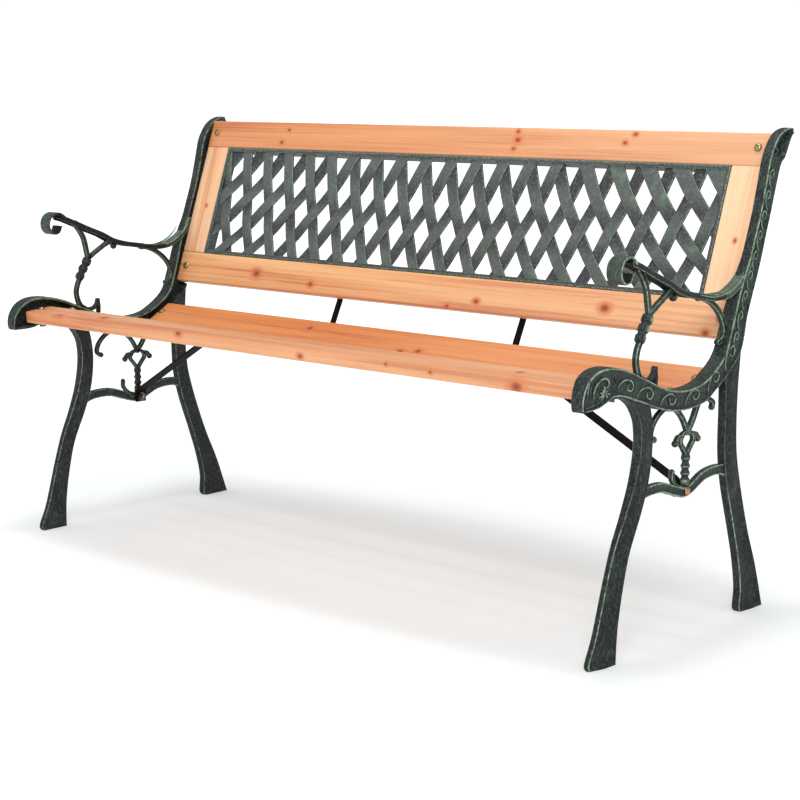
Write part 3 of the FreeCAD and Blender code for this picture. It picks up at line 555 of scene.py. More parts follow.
def end_frame_shells():
    shells = Shells()
    member = smooth(MEMBER, 4.5)
    between_edges(shells, member, member_section)
    relief(shells, member)
    between_edges(shells, pair_edges(FRONT_LEG_FRONT, FRONT_LEG_REAR, 4),
                  leg_section(591.0, 599.5, 605.5), 0.35)
    between_edges(shells, pair_edges(REAR_LEG_FRONT, REAR_LEG_REAR, 4),
                  leg_section(590.0, 603.0, 603.0), 0.3)

    bar(shells, STRETCHER, 15.0, (591.6, ORNAMENT_X[1]), flare=(4, 4))
    bar(shells, STRETCHER_HOOK, 5.5, ROD_X, groove=0.3, flare=(0, 3), tone=0.6)
    ball(shells, STRETCHER_HOOK[0], 4.2, tone=0.6)
    heights = [z for _, z in BALUSTER]
    length = heights[-1] - heights[0]
    turned(shells, [(BALUSTER_Y, heights[0]), (BALUSTER_Y, heights[-1])],
           [((z - heights[0]) / length, r) for r, z in BALUSTER], ORNAMENT_MIDDLE, step=0.6)
    bar(shells, V_ARM_RIGHT, 7.5, ROD_X, groove=0.5, flare=(0, 2.5), tone=0.6)
    bar(shells, V_ARM_LEFT, 6.5, ROD_X, groove=0.5)
    bar(shells, V_CURL, 6.5, ROD_X, groove=0.5)
    ball(shells, V_CURL[-1], 4.8)
    ball(shells, LEG_BALL, 5.0)
    for side in (1, -1):
        mirror = [[(BALUSTER_Y + side * (y - BALUSTER_Y), z) for y, z in points]
                  for points in (HEART_SIDE, HEART_EAR)]
        for points in mirror:
            bar(shells, points, 5.5, ROD_X, groove=0.4)
        ball(shells, mirror[1][-1], 5.2, tone=0.6)

    bar(shells, ARM[:-5], ARM_WIDTH, ARM_X, groove=0.8, tone=0.1, worn=0.8, channel=True)
    bar(shells, ARM[-7:], ARM_WIDTH, (587.3, 609.8, 592.0, 608.6), groove=0.8, tone=0.9,
        worn=1.2, channel=True)
    ridge(shells, ARM_TAIL_LINE, 1.3, 608.6, 1.0, 0.8)
    arm_scroll(shells)
    ball(shells, ARM_BALL, 6.0)
    bar(shells, POST, 8.0, ROD_X, groove=0.6, flare=(0, 3))
    turned(shells, [(-90.5, 480), (-95, 472), (-102, 462), (-109, 450), (-113, 444)],
           [(0, 5.5), (0.1, 8.2), (0.22, 8.3), (0.31, 6.2), (0.37, 6.2), (0.45, 8.2),
            (0.57, 8.2), (0.65, 6.2), (0.71, 6.2), (0.79, 8.0), (0.9, 7.8), (1, 5.5)],
           ORNAMENT_MIDDLE)
    bar(shells, POST_LEFT_BRANCH, 8.5, ROD_X, groove=0.6, flare=(0, 2))
    bar(shells, POST_RIGHT_BRANCH, 7.5, ROD_X, groove=0.6, flare=(0, 2), tone=0.6)
    bar(shells, POST_HOOK, 6.5, ROD_X, groove=0.4, tone=0.4, worn=0.6)
    bar(shells, [(-71, 401.5), (-69.5, 393), (-70, 383)], 6.0, ROD_X, groove=0.2, tone=0.2,
        worn=0.3)
    bar(shells, REAR_LOOP, 8.0, ROD_X, groove=0.6, flare=(2, 0))
    seat_lugs(shells)
    back_ears(shells)
    return shells


# -------- timber
def rounded_outline(half_width, thickness, radius, soften=0.0):
    """Outline of a board's section: y across, z from -thickness to 0, four round corners."""
    outline = []
    corners = [(half_width, 0, 0), (-half_width, 0, 90), (-half_width, -thickness, 180),
               (half_width, -thickness, 270)]
    for y, z, start in corners:
        cy = y - math.copysign(radius, y)
        cz = z - radius if z == 0 else z + radius
        for turn in np.linspace(start, start + 90, 6):
            a = math.radians(turn)
            reach = radius - soften
            outline.append((cy + reach * math.cos(a), cz + reach * math.sin(a)))
    return outline


def board(name, half_length, half_width, thickness, placement, material, slot, node):
    """A planed board along local X, its top at local z = 0, with eased edges and ends."""
    shells = Shells()
    inner = np.linspace(-half_length + 4, half_length - 4, int(half_length / 7))
    ends = [(0.0, 1.3), (0.5, 0.6), (1.4, 0.12)]
    stations = [(-half_length + d, s) for d, s in ends] + [(x, 0.0) for x in inner]
    stations += [(half_length - d, s) for d, s in reversed(ends)]
    seed = sum(ord(c) for c in name)
    rings = []
    for x, soften in stations:
        lift = 0.12 * noise.noise(Vector((x / 90, seed, 0)))
        sway = 0.15 * noise.noise(Vector((x / 140, 0, seed)))
        outline = rounded_outline(half_width, thickness, 3.0, soften)
        rings.append([(x, y + sway * (abs(y) < half_width - 0.2), z - 0.12 + lift)
                      for y, z in outline])
    shells.add_rings(rings, 0.0)
    obj = shells.build(name, material, placement)
    hand_in(obj, slot, node)
    return obj


def slat_matrix(top):
    (y0, z0), (y1, z1) = top
    tilt = math.atan2(z1 - z0, y1 - y0)
    middle = Vector((0, (y0 + y1) / 2, (z0 + z1) / 2)) * MM
    return Matrix.Translation(middle) @ Matrix.Rotation(tilt, 4, "X")


def back_matrix():
    """Backrest frame: local X along it, local Y its depth, local Z up the slope."""
    return Matrix.Translation(Vector(BACK_ORIGIN) * MM) @ Matrix.Rotation(-BACK_LEAN, 4, "X")


def rail_matrix(low, high):
    """Local Z of the board looks forward, its Y runs up the slope."""
    middle = Vector((0, 0, (low + high) / 2)) * MM
    return back_matrix() @ Matrix.Translation(middle) @ Matrix.Rotation(math.pi / 2, 4, "X")


def stile_matrix(side):
    middle = Vector((side * (OPENING_HALF + BACK_HALF) / 2, 0, sum(OPENING) / 2)) * MM
    upright = Matrix.Rotation(math.pi / 2, 4, "X") @ Matrix.Rotation(math.pi / 2, 4, "Z")
    return back_matrix() @ Matrix.Translation(middle) @ upright


# -------- lattice panel
def strip_middle(n, v):
    """Middle line of strip n of the family that leans right, at heights v."""
    middle = 66.5 + 56.1 * n - 0.307 * n**2 + 0.0196 * n**3
    lower_run = 52.5 - 3.05 * n + 0.292 * n**2 - 0.025 * n**3
    upper_run = 35.1 - 1.97 * n + 0.137 * n**2 - 0.011 * n**3
    slope = (lower_run + upper_run) / (STRIP_V[2] - STRIP_V[0])
    left = middle + parabola(v, (-lower_run, 0.0, upper_run))
    return left + STRIP_WIDTH * math.hypot(1, slope) / 2, slope


def parabola(v, values):
    """Passes through the three values at the heights STRIP_V."""
    low, mid, high = STRIP_V
    v = np.asarray(v, float)
    a = values[0] * (v - mid) * (v - high) / ((low - mid) * (low - high))
    b = values[1] * (v - low) * (v - high) / ((mid - low) * (mid - high))
    c = values[2] * (v - low) * (v - mid) / ((high - low) * (high - mid))
    return a + b + c


def weave_depth(n, v, rising):
    """Depth of a strip's middle: it passes alternately before and behind the others."""
    xs, _ = strip_middle(n, v)
    knots = []
    for m in STRIP_NUMBERS:
        other, _ = strip_middle(m, v)
        gap = xs + other
        sign = np.nonzero(np.diff(np.sign(gap)))[0]
        for i in sign:
            on_top = ((n + m) % 2 == 0) == rising
            knots.append((v[i], WEAVE_MIDDLE - WEAVE_RISE * (1 if on_top else -1)))
    knots.sort()
    if not knots:
        return np.full(len(v), WEAVE_MIDDLE), np.zeros(len(v))
    at = np.array([k[0] for k in knots])
    depth = np.array([k[1] for k in knots])
    place = np.clip(np.searchsorted(at, v) - 1, 0, len(at) - 1)
    after = np.clip(place + 1, 0, len(at) - 1)
    span = np.maximum(at[after] - at[place], 1e-6)
    t = ease((v - at[place]) / span, 0, 1)
    mixed = depth[place] * (1 - t) + depth[after] * t
    return mixed, (WEAVE_MIDDLE - mixed) / WEAVE_RISE


def lattice_strip(shells, n, side):
    """One strip, from border to border, cut off at the panel's ends."""
    low, high = OPENING[0] + BORDER - 2, OPENING[1] - BORDER + 2
    v = np.linspace(low, high, STRIP_RINGS)
    x, slope = strip_middle(n, v)
    depth, lift = weave_depth(n, v, side > 0)
    limit = OPENING_HALF - BORDER + 2
    half = STRIP_WIDTH / 2 * math.hypot(1, slope)
    inside = (x + half > -limit) & (x - half < limit)
    if inside.sum() < 4:
        return
    v, x, depth, lift = v[inside], x[inside], depth[inside], lift[inside]
    t = STRIP_HALF_THICK
    outline = [(-1.0, 0.7 * t, 0.2), (-1.0, -0.3 * t, 0.6), (-0.93, -0.85 * t, 1.0),
               (-0.84, -t, 0.5), (-0.4, -t - 0.15, 0.0), (0.0, -t - 0.25, 0.0),
               (0.4, -t - 0.15, 0.0), (0.84, -t, 0.5), (0.93, -0.85 * t, 1.0),
               (1.0, -0.3 * t, 0.6), (1.0, 0.7 * t, 0.2), (0.9, t, 0.2), (-0.9, t, 0.2)]
    rings = []
    for vi, xi, di in zip(v, x, depth):
        ring = [(side * np.clip(xi + a * half, -limit, limit), di + d, vi)
                for a, d, _ in outline]
        rings.append(ring)
    # Painted light and shade: tone rises where the strip stands proud and falls where it dips
    # behind the others.
    tone = 0.5 + 0.5 * lift[:, None]
    shells.add_rings(rings, [w for _, _, w in outline], tone)


def lattice_border(shells):
    """Moulded frame round the panel, flush with the timber's front."""
    outer_u, outer_low, outer_high = OPENING_HALF - 0.2, OPENING[0] + 0.2, OPENING[1] - 0.2
    section = [(0, 0.6, 0.5), (0.6, 0.1, 0.95), (BORDER - 1.2, 0.1, 0.4), (BORDER - 0.3, 0.6, 1.0),
               (BORDER, 1.8, 0.5), (BORDER, PANEL_DEPTH - 1, 0.2),
               (BORDER - 1, PANEL_DEPTH, 0.3), (0, PANEL_DEPTH, 0.0)]
    rings = []
    for su, sv in ((-1, -1), (1, -1), (1, 1), (-1, 1)):
        corner = outer_low if sv < 0 else outer_high
        rings.append([(su * (outer_u - i), d, corner - sv * i) for i, d, _ in section])
    shells.add_rings(rings, [w for _, _, w in section], 0.35, loop=True)


def lattice():
    shells = Shells()
    lattice_border(shells)
    for n in STRIP_NUMBERS:
        for side in (1, -1):
            lattice_strip(shells, n, side)
    return shells


# -------- flat bars and fasteners
def rounded_path(points, radius):
    """Straight runs with round corners."""
    p = [np.array(q, float) for q in points]
    line = [p[0]]
    for before, corner, after in zip(p, p[1:], p[2:]):
        a, b = unit(before - corner), unit(after - corner)
        cut = min(radius, 0.45 * np.linalg.norm(before - corner),
                  0.45 * np.linalg.norm(after - corner))
        for t in np.linspace(0, 1, 7):
            start, end = corner + a * cut, corner + b * cut
            line.append((1 - t)**2 * start + 2 * t * (1 - t) * corner + t * t * end)
    line.append(p[-1])
    return np.array(line)


def flat_bar(name, points, section, radius, placement, material, node):
    """A bent flat bar whose upper side follows points; its width is along local X."""
    shells = Shells()
    width, thickness = section
    path = rounded_path(points, radius)
    normals = left_normals(path)
    h, s = width / 2, 0.5
    outline = [(-h + s, 0), (h - s, 0), (h, s), (h, thickness - s), (h - s, thickness),
               (-h + s, thickness), (-h, thickness - s), (-h, s)]
    rings = [[(x, *(p - n * d)) for x, d in outline] for p, n in zip(path, normals)]
    shells.add_rings(rings, 0.4)
    obj = shells.build(name, material, placement)
    hand_in(obj, "bar_steel", node)
    return obj


def slat_underside(top):
    (y0, z0), (y1, z1) = top
    tilt = math.atan2(z1 - z0, y1 - y0)
    along = np.array((math.cos(tilt), math.sin(tilt)))
    down = np.array((along[1], -along[0]))
    middle = np.array(((y0 + y1) / 2, (z0 + z1) / 2)) + down * SLAT_SIZE[2]
    return [middle - along * 25, middle + along * 25]


def back_of_rail(v):
    spot = back_matrix() @ (Vector((0, BACK_THICKNESS, v)) * MM) / MM
    return np.array((spot.y, spot.z))


def strap_path():
    path = []
    for top in SLAT_TOPS:
        path += slat_underside(top)
    path[0] = path[0] + unit(path[1] - path[0]) * STRAP_START
    return path + [(125, 369), (149.5, 420), back_of_rail(-44), back_of_rail(-14)]


def brace_path():
    reach = LEG_X[0] - BRACE_TOP_X
    return [(BRACE_REACH, BRACE_BOLT[1] - 9), (BRACE_REACH, BRACE_BOLT[1] + 13),
            (reach, BRACE_TOP_Z), (reach + 32, BRACE_TOP_Z)]


def brace_matrix(side):
    """Places the brace's own frame at the legs' inner face; the left one is its mirror."""
    place = Matrix.Translation(Vector((LEG_X[0], BRACE_BOLT[0], 0)) * MM)
    turn = Matrix.Rotation(math.pi / 2 + BRACE_TURN, 4, "Z")
    return Matrix.Diagonal((side, 1, 1, 1)) @ place @ turn


def dome_profile(radius, height):
    turns = np.radians(np.linspace(0, 88, 9))
    flank = [(radius * 0.94, -0.2), (radius, 0.3)]
    crown = [(radius * math.cos(t), 0.5 + (height - 0.5) * math.sin(t)) for t in turns[1:]]
    return flank + crown


def bolts(name, places, material, node, radius=6.3, height=3.8, shank=(3.0, 30.0)):
    """Round-headed bolts; each place has its local +Z out of the head."""
    shells = Shells()
    angles = np.linspace(0, 2 * math.pi, 28, endpoint=False)
    profiles = [dome_profile(radius, height), [(shank[0], 0.2), (shank[0], -shank[1])]]
    for place in places:
        for profile in profiles:
            rings = []
            for r, z in profile:
                ring = [place @ (Vector((r * math.cos(a), r * math.sin(a), z)) * MM)
                        for a in angles]
                rings.append([tuple(p / MM) for p in ring])
            shells.add_rings(rings, 0.5)
    obj = shells.build(name, material, inside_cad_box=True)
    hand_in(obj, "fastener", node)


# -------- materials
def srgb(r, g, b):
    """A colour given as 0 to 255 display values."""
    linear = []
    for c in (r, g, b):
        c = c / 255
        linear.append(c / 12.92 if c <= 0.04045 else ((c + 0.055) / 1.055)**2.4)
    return (*linear, 1.0)


class Nodes:
    """A material's node tree, written as expressions of sockets and numbers."""

    def __init__(self, name):
        self.material = bpy.data.materials.new(name)
        self.material.use_nodes = True
        self.tree = self.material.node_tree
        self.shader = self.tree.nodes["Principled BSDF"]

    def put(self, socket, value):
        if isinstance(value, bpy.types.NodeSocket):
            self.tree.links.new(value, socket)
        else:
            socket.default_value = value

    def node(self, kind, inputs=(), **settings):
        made = self.tree.nodes.new("ShaderNode" + kind)
        for key, value in settings.items():
            setattr(made, key, value)
        for key, value in dict(inputs).items():
            self.put(made.inputs[key], value)
        return made

    def math(self, operation, a, b=0.0):
        return self.node("Math", {0: a, 1: b}, operation=operation).outputs[0]

    def add(self, a, b):
        return self.math("ADD", a, b)

    def minus(self, a, b):
        return self.math("SUBTRACT", a, b)

    def times(self, a, b):
        return self.math("MULTIPLY", a, b)

    def band(self, value, low, high, to_low=0.0, to_high=1.0):
        inputs = {"Value": value, "From Min": low, "From Max": high,
                  "To Min": to_low, "To Max": to_high}
        return self.node("MapRange", inputs, interpolation_type="SMOOTHSTEP").outputs[0]

    def mix(self, factor, a, b, blend="MIX"):
        made = self.node("Mix", data_type="RGBA", blend_type=blend)
        self.put(made.inputs[0], factor)
        self.put(made.inputs[6], a)
        self.put(made.inputs[7], b)
        return made.outputs[2]

    def stretch(self, vector, scale, location=(0, 0, 0)):
        inputs = {"Vector": vector, "Scale": scale, "Location": location}
        return self.node("Mapping", inputs).outputs[0]

    def place(self, scale=(1, 1, 1), location=(0, 0, 0)):
        """The object's own coordinates in metres, scaled and shifted."""
        return self.stretch(self.node("TexCoord").outputs["Object"], scale, location)

    def noise(self, vector, scale, detail=4.0, roughness=0.55, distortion=0.0):
        inputs = {"Vector": vector, "Scale": scale, "Detail": detail, "Roughness": roughness,
                  "Distortion": distortion}
        return self.node("TexNoise", inputs).outputs["Fac"]

    def attribute(self, name):
        return self.node("Attribute", attribute_name=name).outputs["Fac"]

    def bump(self, height, strength, distance):
        made = self.node("Bump", {"Height": height, "Strength": strength,
                                  "Distance": distance})
        self.put(self.shader.inputs["Normal"], made.outputs[0])

    def surface(self, color, roughness, metallic=0.0, **more):
        self.put(self.shader.inputs["Base Color"], color)
        self.put(self.shader.inputs["Roughness"], roughness)
        self.put(self.shader.inputs["Metallic"], metallic)
        for key, value in more.items():
            self.put(self.shader.inputs[key.replace("_", " ")], value)
        return self.material


def casting_material(name="cast_iron_patina"):
    """Near-black paint with a mottled green patina, rubbed to light green along edges."""
    n = Nodes(name)
    here = n.place()
    broad = n.noise(here, 22, 4)
    mottle = n.noise(here, 120, 5, 0.62)
    fine = n.noise(here, 420, 4, 0.65)
    grains = n.noise(here, 1300, 2, 0.6)
    wear = n.attribute("wear")
    tone = n.attribute("tone")
    # tone darkens or lightens the coat; in the arm's scroll it carries painted shade.
    green = n.add(n.times(n.minus(tone, 0.5), 0.55), broad)
    green = n.add(green, n.times(mottle, 0.5))
    base = n.mix(n.band(green, 0.60, 1.10), srgb(28, 30, 33), srgb(51, 62, 56))
    flecks = n.noise(n.place((1, 1, 0.45), (2, 5, 1)), 290, 4, 0.6)
    speckle = n.add(n.add(flecks, n.times(fine, 0.9)),
                     n.times(grains, 0.35))
    speckle = n.add(speckle, n.times(n.minus(tone, 0.5), 0.25))
    base = n.mix(n.band(speckle, 1.0, 1.48, 0.0, 0.34), base, srgb(122, 138, 128))
    chips = n.add(mottle, n.times(fine, 0.8))
    rubbed = n.times(n.band(wear, 0.55, 0.95), n.band(chips, 0.70, 1.05, 0.12, 1.0))
    base = n.mix(n.times(rubbed, 0.9), base, srgb(152, 180, 152))
    height = n.add(mottle, n.times(fine, 0.8))
    n.bump(height, 0.6, 0.0007)
    return n.surface(base, n.band(fine, 0.3, 0.7, 0.44, 0.62), Specular_IOR_Level=0.18)


def lattice_material(name="lattice_patina"):
    """Dark slate-grey moulding with soft green patches; painted light and shade make the strips
    lighter and greener where they stand proud and darker where they dip behind others.
    """
    n = Nodes(name)
    here = n.place()
    x = n.node("SeparateXYZ", {0: here}).outputs[0]
    broad = n.noise(here, 14, 5, 0.6)
    fine = n.noise(here, 250, 5, 0.68)
    wear = n.attribute("wear")
    tone = n.attribute("tone")
    # Painted light and shade: tone makes strips lighter and greener where they stand proud and
    # darker where they dip behind; broad noise adds a random green cast.
    bloom_and_shade = n.add(n.times(tone, 0.6), n.times(broad, 0.9))
    base = n.mix(n.band(bloom_and_shade, 0.45, 1.15), srgb(42, 44, 48), srgb(78, 86, 82))
    base = n.mix(n.band(fine, 0.46, 0.72, 0.0, 0.55), base, srgb(124, 132, 128))
    patches = n.band(n.noise(n.place(location=(3, 1, 2)), 38, 4), 0.55, 0.70)
    right_end = n.band(x, 0.05, 0.5, 0.35, 1.0)
    patches = n.times(n.times(patches, right_end),
                     n.band(tone, 0.4, 0.95, 0.0, 0.6))
    base = n.mix(patches, base, srgb(104, 140, 106))
    edge = n.times(n.band(wear, 0.55, 1.0), n.band(fine, 0.42, 0.6, 0.1, 0.8))
    base = n.mix(edge, base, srgb(136, 160, 140))
    n.bump(fine, 0.4, 0.0006)
    return n.surface(base, n.band(fine, 0.3, 0.7, 0.42, 0.60))


KNOT_HALO = 1.25             # a knot's darker ring reaches this many times its radius


def wood_material(name, light, dark, knots=(), shift=0.0, streaks=1.0, pale=0.26):
    """Oiled softwood: grain along local X, growth lines that bend round the knots. Painted
    light: it is painted lighter towards the bench's right-hand end, where the light falls
    stronger, by the share pale.

    knots are (x, y, z, radius) in the board's own frame, in millimetres."""
    n = Nodes(name)
    here = n.place()
    x, y, z = n.node("SeparateXYZ", {0: here}).outputs
    bent = y
    spots = []
    for kx, ky, kz, radius in knots:
        dx = n.times(n.minus(x, kx * MM), 0.75)
        dy = n.minus(y, ky * MM)
        dz = n.minus(z, kz * MM)
        square = n.add(n.times(dx, dx), n.times(dy, dy))
        square = n.add(square, n.times(dz, dz))
        far = n.math("DIVIDE", n.math("SQRT", square), KNOT_HALO * radius * MM)
        push = n.band(far, 0.0, 3.4, 0.8, 0.0)
        bent = n.minus(bent, n.times(dy, push))
        spots.append(far)
    warped = n.node("CombineXYZ", {0: x, 1: bent, 2: z}).outputs[0]
    drift = n.stretch(warped, (1.1, 26, 22), (shift, shift * 0.37, shift * 0.11))
    bands = n.noise(drift, 1.6, 3, 0.5, 0.35)
    lines = n.stretch(warped, (2.6, 250, 210), (shift, shift, 0))
    grain = n.noise(lines, 1.0, 4, 0.62, 0.25)
    pores = n.stretch(warped, (24, 1000, 1000))
    fibre = n.noise(pores, 1.0, 2, 0.5)
    amount = n.add(n.times(bands, 0.9), n.times(grain, 0.6))
    color = n.mix(n.band(amount, 0.54, 0.92), light, dark)
    late = n.band(n.add(n.times(bands, 0.7), n.times(grain, 0.6)),
                  0.70, 0.82)
    deep = tuple(c * f for c, f in zip(dark[:3], (0.80, 0.60, 0.48))) + (1.0,)
    color = n.mix(n.times(late, 0.85 * streaks), color, deep)
    color = n.mix(n.band(fibre, 0.42, 0.72, 0.0, 0.14), color, deep)
    world_x = n.node("SeparateXYZ", {0: n.node("NewGeometry").outputs["Position"]}).outputs[0]
    # Painted light: a pale cream is mixed in along world X, more towards the bench's right-hand
    # end.
    color = n.mix(n.band(world_x, -0.3, 0.65, 0.0, pale), color, srgb(255, 226, 190))
    for far in spots:
        ragged = n.add(far, n.times(n.minus(grain, 0.5), 0.5))
        color = n.mix(n.band(ragged, 1.0, 2.6, 0.75, 0.0), color, srgb(210, 116, 66))
        color = n.mix(n.band(ragged, 0.6, 1.2, 0.9, 0.0), color, srgb(168, 72, 28))
        color = n.mix(n.band(ragged, 0.1, 0.55, 0.7, 0.0), color, srgb(98, 38, 14))
    n.bump(n.add(grain, n.times(fibre, 0.6)), 0.3, 0.0004)
    return n.surface(color, n.band(grain, 0.3, 0.7, 0.38, 0.52), Coat_Weight=0.12,
                     Coat_Roughness=0.3)


def steel_material(name, color, rough, metallic):
    n = Nodes(name)
    here = n.place()
    fine = n.noise(here, 420, 4, 0.6)
    broad = n.noise(here, 40, 3)
    shade = tuple(c * 0.62 for c in color[:3]) + (1.0,)
    base = n.mix(n.band(n.add(fine, broad), 0.7, 1.3), shade, color)
    n.bump(fine, 0.15, 0.0002)
    return n.surface(base, n.band(fine, 0.3, 0.7, rough - 0.06, rough + 0.08), metallic,
                     Specular_IOR_Level=0.5 if metallic else 0.15)


# -------- the bench
cast_iron = casting_material()
black_bar = steel_material("black_bar", srgb(13, 13, 14), 0.75, 0.0)
zinc = steel_material("yellow_zinc", srgb(186, 164, 122), 0.34, 1.0)
copper = steel_material("copper_bolt", srgb(206, 150, 112), 0.36, 1.0)
nut_steel = steel_material("nut_steel", srgb(120, 118, 110), 0.4, 1.0)

SIDES = (("right", 1), ("left", -1))
SLAT_LOOKS = [
    (srgb(232, 167, 119), srgb(216, 141, 90),
     [(-403, -4, 0, 5), (-498, -22, 0, 4), (-193, -28, -2, 4), (77, -28, -12, 3),
      (249, -28, -6, 2), (332, -28, -9, 2), (484, -28, -13, 6), (468, 2, 0, 3)]),
    (srgb(228, 164, 120), srgb(214, 138, 92), [(-130, 4, 0, 5)]),
    (srgb(228, 162, 118), srgb(212, 136, 90), [(240, -6, 0, 6)]),
    (srgb(226, 160, 114), srgb(210, 134, 88), [(-340, 8, 0, 6)]),
    (srgb(226, 147, 86), srgb(207, 120, 62),
     [(-198, 4, 0, 4), (30, -26, 0, 4), (65, -20, 0, 4)])]


def castings():
    casting = end_frame_shells()
    for side, mirrored in (("right", False), ("left", True)):
        obj = casting.build("casting_" + side, cast_iron, mirrored=mirrored, inside_cad_box=True)
        hand_in(obj, "casting", "end_frame_" + side)


def lattice_panel():
    obj = lattice().build("lattice_weave", lattice_material(), back_matrix())
    hand_in(obj, "lattice", "lattice_panel")


def seat():
    for i, (top, (light, dark, knots)) in enumerate(zip(SLAT_TOPS, SLAT_LOOKS)):
        name = "seat_board_%d" % (i + 1)
        wood = wood_material("fir_seat_%d" % (i + 1), light, dark, knots, 3.7 * i + 1.3, pale=0.12)
        board(name, *SLAT_SIZE, slat_matrix(top), wood, "timber", "seat_slat_%d" % (i + 1))


def rails():
    top_wood = wood_material("fir_top_rail", srgb(223, 155, 104), srgb(206, 128, 78),
                             [(-390, 11, 0, 2.5), (-402, -13, 0, 3), (130, 18, 0, 2.5),
                              (133, 4, 0, 3.5), (128, -11, 0, 2.5), (342, 4, 0, 2.5),
                              (358, 18, 0, 2.5)], 21.0)
    bottom_wood = wood_material("fir_bottom_rail", srgb(240, 187, 131), srgb(222, 151, 96),
                                [(-388, -1, 0, 5), (-250, -11, 0, 3.5), (65, -24, 0, 2.5),
                                 (123, -11, 0, 3.5), (373, -1, 0, 5), (557, -23, 0, 3.5)], 33.0)
    for name, low, high, wood in (("top", OPENING[1], TOP_RAIL_HIGH, top_wood),
                                  ("bottom", BOTTOM_RAIL_LOW, OPENING[0], bottom_wood)):
        board(name + "_rail_board", BACK_HALF, (high - low) / 2, BACK_THICKNESS,
              rail_matrix(low, high), wood, "timber", "back_rail_" + name)


def stiles():
    for name, side in SIDES:
        pale = wood_material("fir_stile_" + name, srgb(244, 202, 160), srgb(228, 168, 122),
                             [(-12, -6, 0, 2)], 47.0 + side, 0.7)
        board("stile_board_" + name, (OPENING[1] - OPENING[0]) / 2 - 0.15,
              (BACK_HALF - OPENING_HALF) / 2, BACK_THICKNESS, stile_matrix(side), pale, "timber",
              "back_stile_" + name)


def flat_bars():
    for name, side in SIDES:
        flat_bar("strap_bar_" + name, strap_path(), STRAP_SECTION, 6.0,
                 Matrix.Translation(Vector((side * STRAP_X, 0, 0)) * MM), black_bar,
                 "support_strap_" + name)
        flat_bar("brace_bar_" + name, brace_path(), BRACE_SECTION, 10.0, brace_matrix(side),
                 black_bar, "brace_" + name)


def all_bolts():
    seat_places = [slat_matrix(top) @ Matrix.Translation(Vector((x, 0, 0)) * MM)
                   for top in SLAT_TOPS for x in (-BOLT_X, BOLT_X)]
    back_places = [back_matrix() @ Matrix.Translation(Vector((x, 0, v)) * MM)
                   @ Matrix.Rotation(math.pi / 2, 4, "X")
                   for v in BACK_BOLT_V for x in (-BACK_BOLT_X, BACK_BOLT_X)]
    brace_places = [Matrix.Translation(Vector((s * ORNAMENT_X[1], *BRACE_BOLT)) * MM)
                    @ Matrix.Rotation(s * math.pi / 2, 4, "Y") for s in (-1, 1)]
    bolts("seat_bolt_heads", seat_places, zinc, "seat_bolts")
    bolts("back_bolt_heads", back_places, zinc, "back_bolts", shank=(3.0, 28.0))
    bolts("brace_bolt_heads", brace_places, copper, "brace_bolts", shank=(3.0, 24.0))


def carried_over():
    """Small hidden pieces keep their CAD shape and get a material."""
    for name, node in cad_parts.items():
        if name.endswith(("washers", "nuts", "screws")):
            node.data.materials.clear()
            node.data.materials.append(nut_steel)
        if name == "stile_dowels":
            node.data.materials.clear()
            node.data.materials.append(wood_material("beech_dowel", srgb(225, 190, 150),
                                                     srgb(205, 165, 122)))


for build_group in (castings, lattice_panel, seat, rails, stiles, flat_bars, all_bolts,
                    carried_over):
    build_group()


# -------- floor, light and camera
FLOOR_GLOW = 0.36            # under the bench; the floor glows more around it, and far away
GLOW_AROUND = 0.15
WORLD_LIGHT = 0.55


def floor():
    n = Nodes("floor_paint")
    tint = n.noise(n.place(), 1.5, 3)
    paint = n.surface(n.mix(tint, (0.59, 0.62, 0.628, 1), (0.605, 0.633, 0.64, 1)), 0.9,
                      Emission_Color=(0.975, 1, 1, 1))
    away = n.node("VectorMath", {0: n.place()}, operation="LENGTH").outputs[1]
    beside = n.place(scale=(0.5, 1, 1), location=(0, -0.03, 0))
    beside = n.node("VectorMath", {0: beside}, operation="LENGTH").outputs[1]
    glow = n.add(n.band(away, 1.0, 3.5, FLOOR_GLOW, 0.75),
                  n.band(beside, 0.28, 0.52, 0.0, GLOW_AROUND))
    n.put(n.shader.inputs["Emission Strength"], glow)
    mesh = bpy.data.meshes.new("floor")
    size = 60.0
    mesh.from_pydata([(-size, -size, 0), (size, -size, 0), (size, size, 0), (-size, size, 0)],
                     [], [(0, 1, 2, 3)])
    mesh.materials.append(paint)
    obj = bpy.data.objects.new("floor", mesh)
    bpy.context.scene.collection.objects.link(obj)


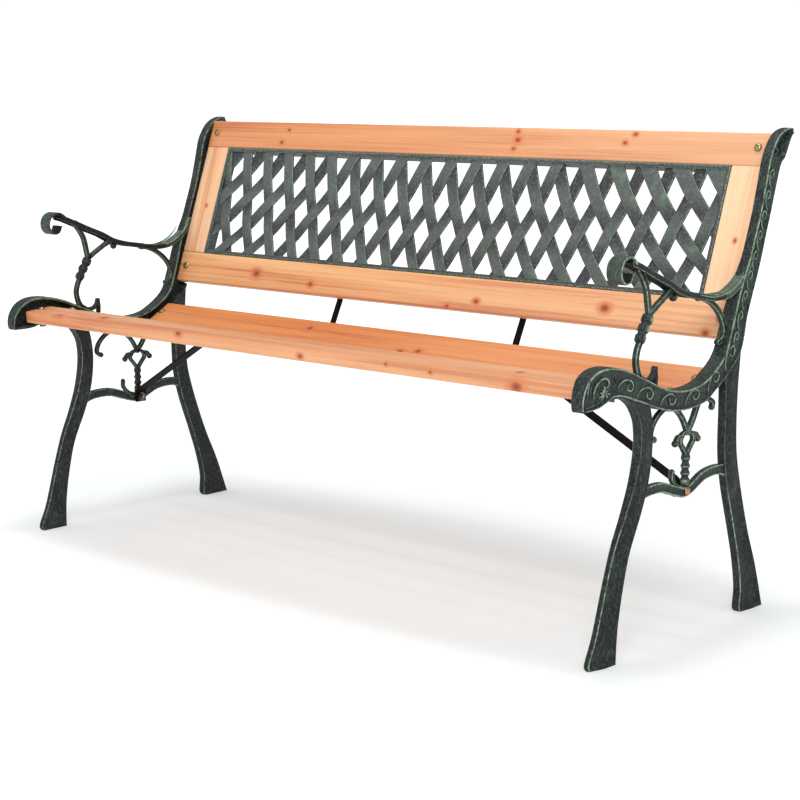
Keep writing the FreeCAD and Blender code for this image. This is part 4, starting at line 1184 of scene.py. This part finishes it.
def area_light(name, place, target, size, power, color=(1, 1, 1)):
    data = bpy.data.lights.new(name, "AREA")
    data.shape = "SQUARE"
    data.size = size
    data.energy = power
    data.color = color
    obj = bpy.data.objects.new(name, data)
    obj.location = place
    way = Vector(target) - Vector(place)
    obj.rotation_euler = way.to_track_quat("-Z", "Y").to_euler()
    bpy.context.scene.collection.objects.link(obj)


def lights():
    """Soft white surroundings, seen as pure white, a key light and a light from above."""
    world = bpy.data.worlds.new("studio")
    world.use_nodes = True
    tree = world.node_tree
    soft = tree.nodes["Background"]
    soft.inputs["Color"].default_value = (1, 1, 1, 1)
    soft.inputs["Strength"].default_value = WORLD_LIGHT
    white = tree.nodes.new("ShaderNodeBackground")
    white.inputs["Color"].default_value = (1, 1, 1, 1)
    white.inputs["Strength"].default_value = 1.1
    path = tree.nodes.new("ShaderNodeLightPath")
    choose = tree.nodes.new("ShaderNodeMixShader")
    tree.links.new(path.outputs["Is Camera Ray"], choose.inputs[0])
    tree.links.new(soft.outputs[0], choose.inputs[1])
    tree.links.new(white.outputs[0], choose.inputs[2])
    tree.links.new(choose.outputs[0], tree.nodes["World Output"].inputs["Surface"])
    bpy.context.scene.world = world
    area_light("key", (2.1, -2.3, 2.4), (0.35, 0, 0.4), 1.4, 52)
    area_light("overhead", (0.0, -0.1, 4.0), (0, 0, 0), 0.7, 46)
    area_light("fill", (-2.5, -3.0, 2.0), (0, 0, 0.4), 2.5, 16)


def camera():
    azimuth, elevation, roll = math.radians(41.156), math.radians(12.313), math.radians(0.305)
    forward = Vector((-math.sin(azimuth) * math.cos(elevation),
                      math.cos(azimuth) * math.cos(elevation), -math.sin(elevation)))
    level = Vector((math.cos(azimuth), math.sin(azimuth), 0))
    upright = level.cross(forward)
    right = math.cos(roll) * level + math.sin(roll) * upright
    up = -math.sin(roll) * level + math.cos(roll) * upright
    data = bpy.data.cameras.new("camera")
    data.lens = 80.095
    data.sensor_width = 36.0
    data.shift_x = 0.0113
    data.shift_y = 0.0984
    obj = bpy.data.objects.new("camera", data)
    turn = Matrix((right, up, -forward)).transposed().to_4x4()
    obj.matrix_world = Matrix.Translation((1.9231, -2.1420, 0.7773)) @ turn
    bpy.context.scene.collection.objects.link(obj)
    bpy.context.scene.camera = obj


floor()
lights()
camera()
bpy.context.scene.view_settings.view_transform = "Standard"
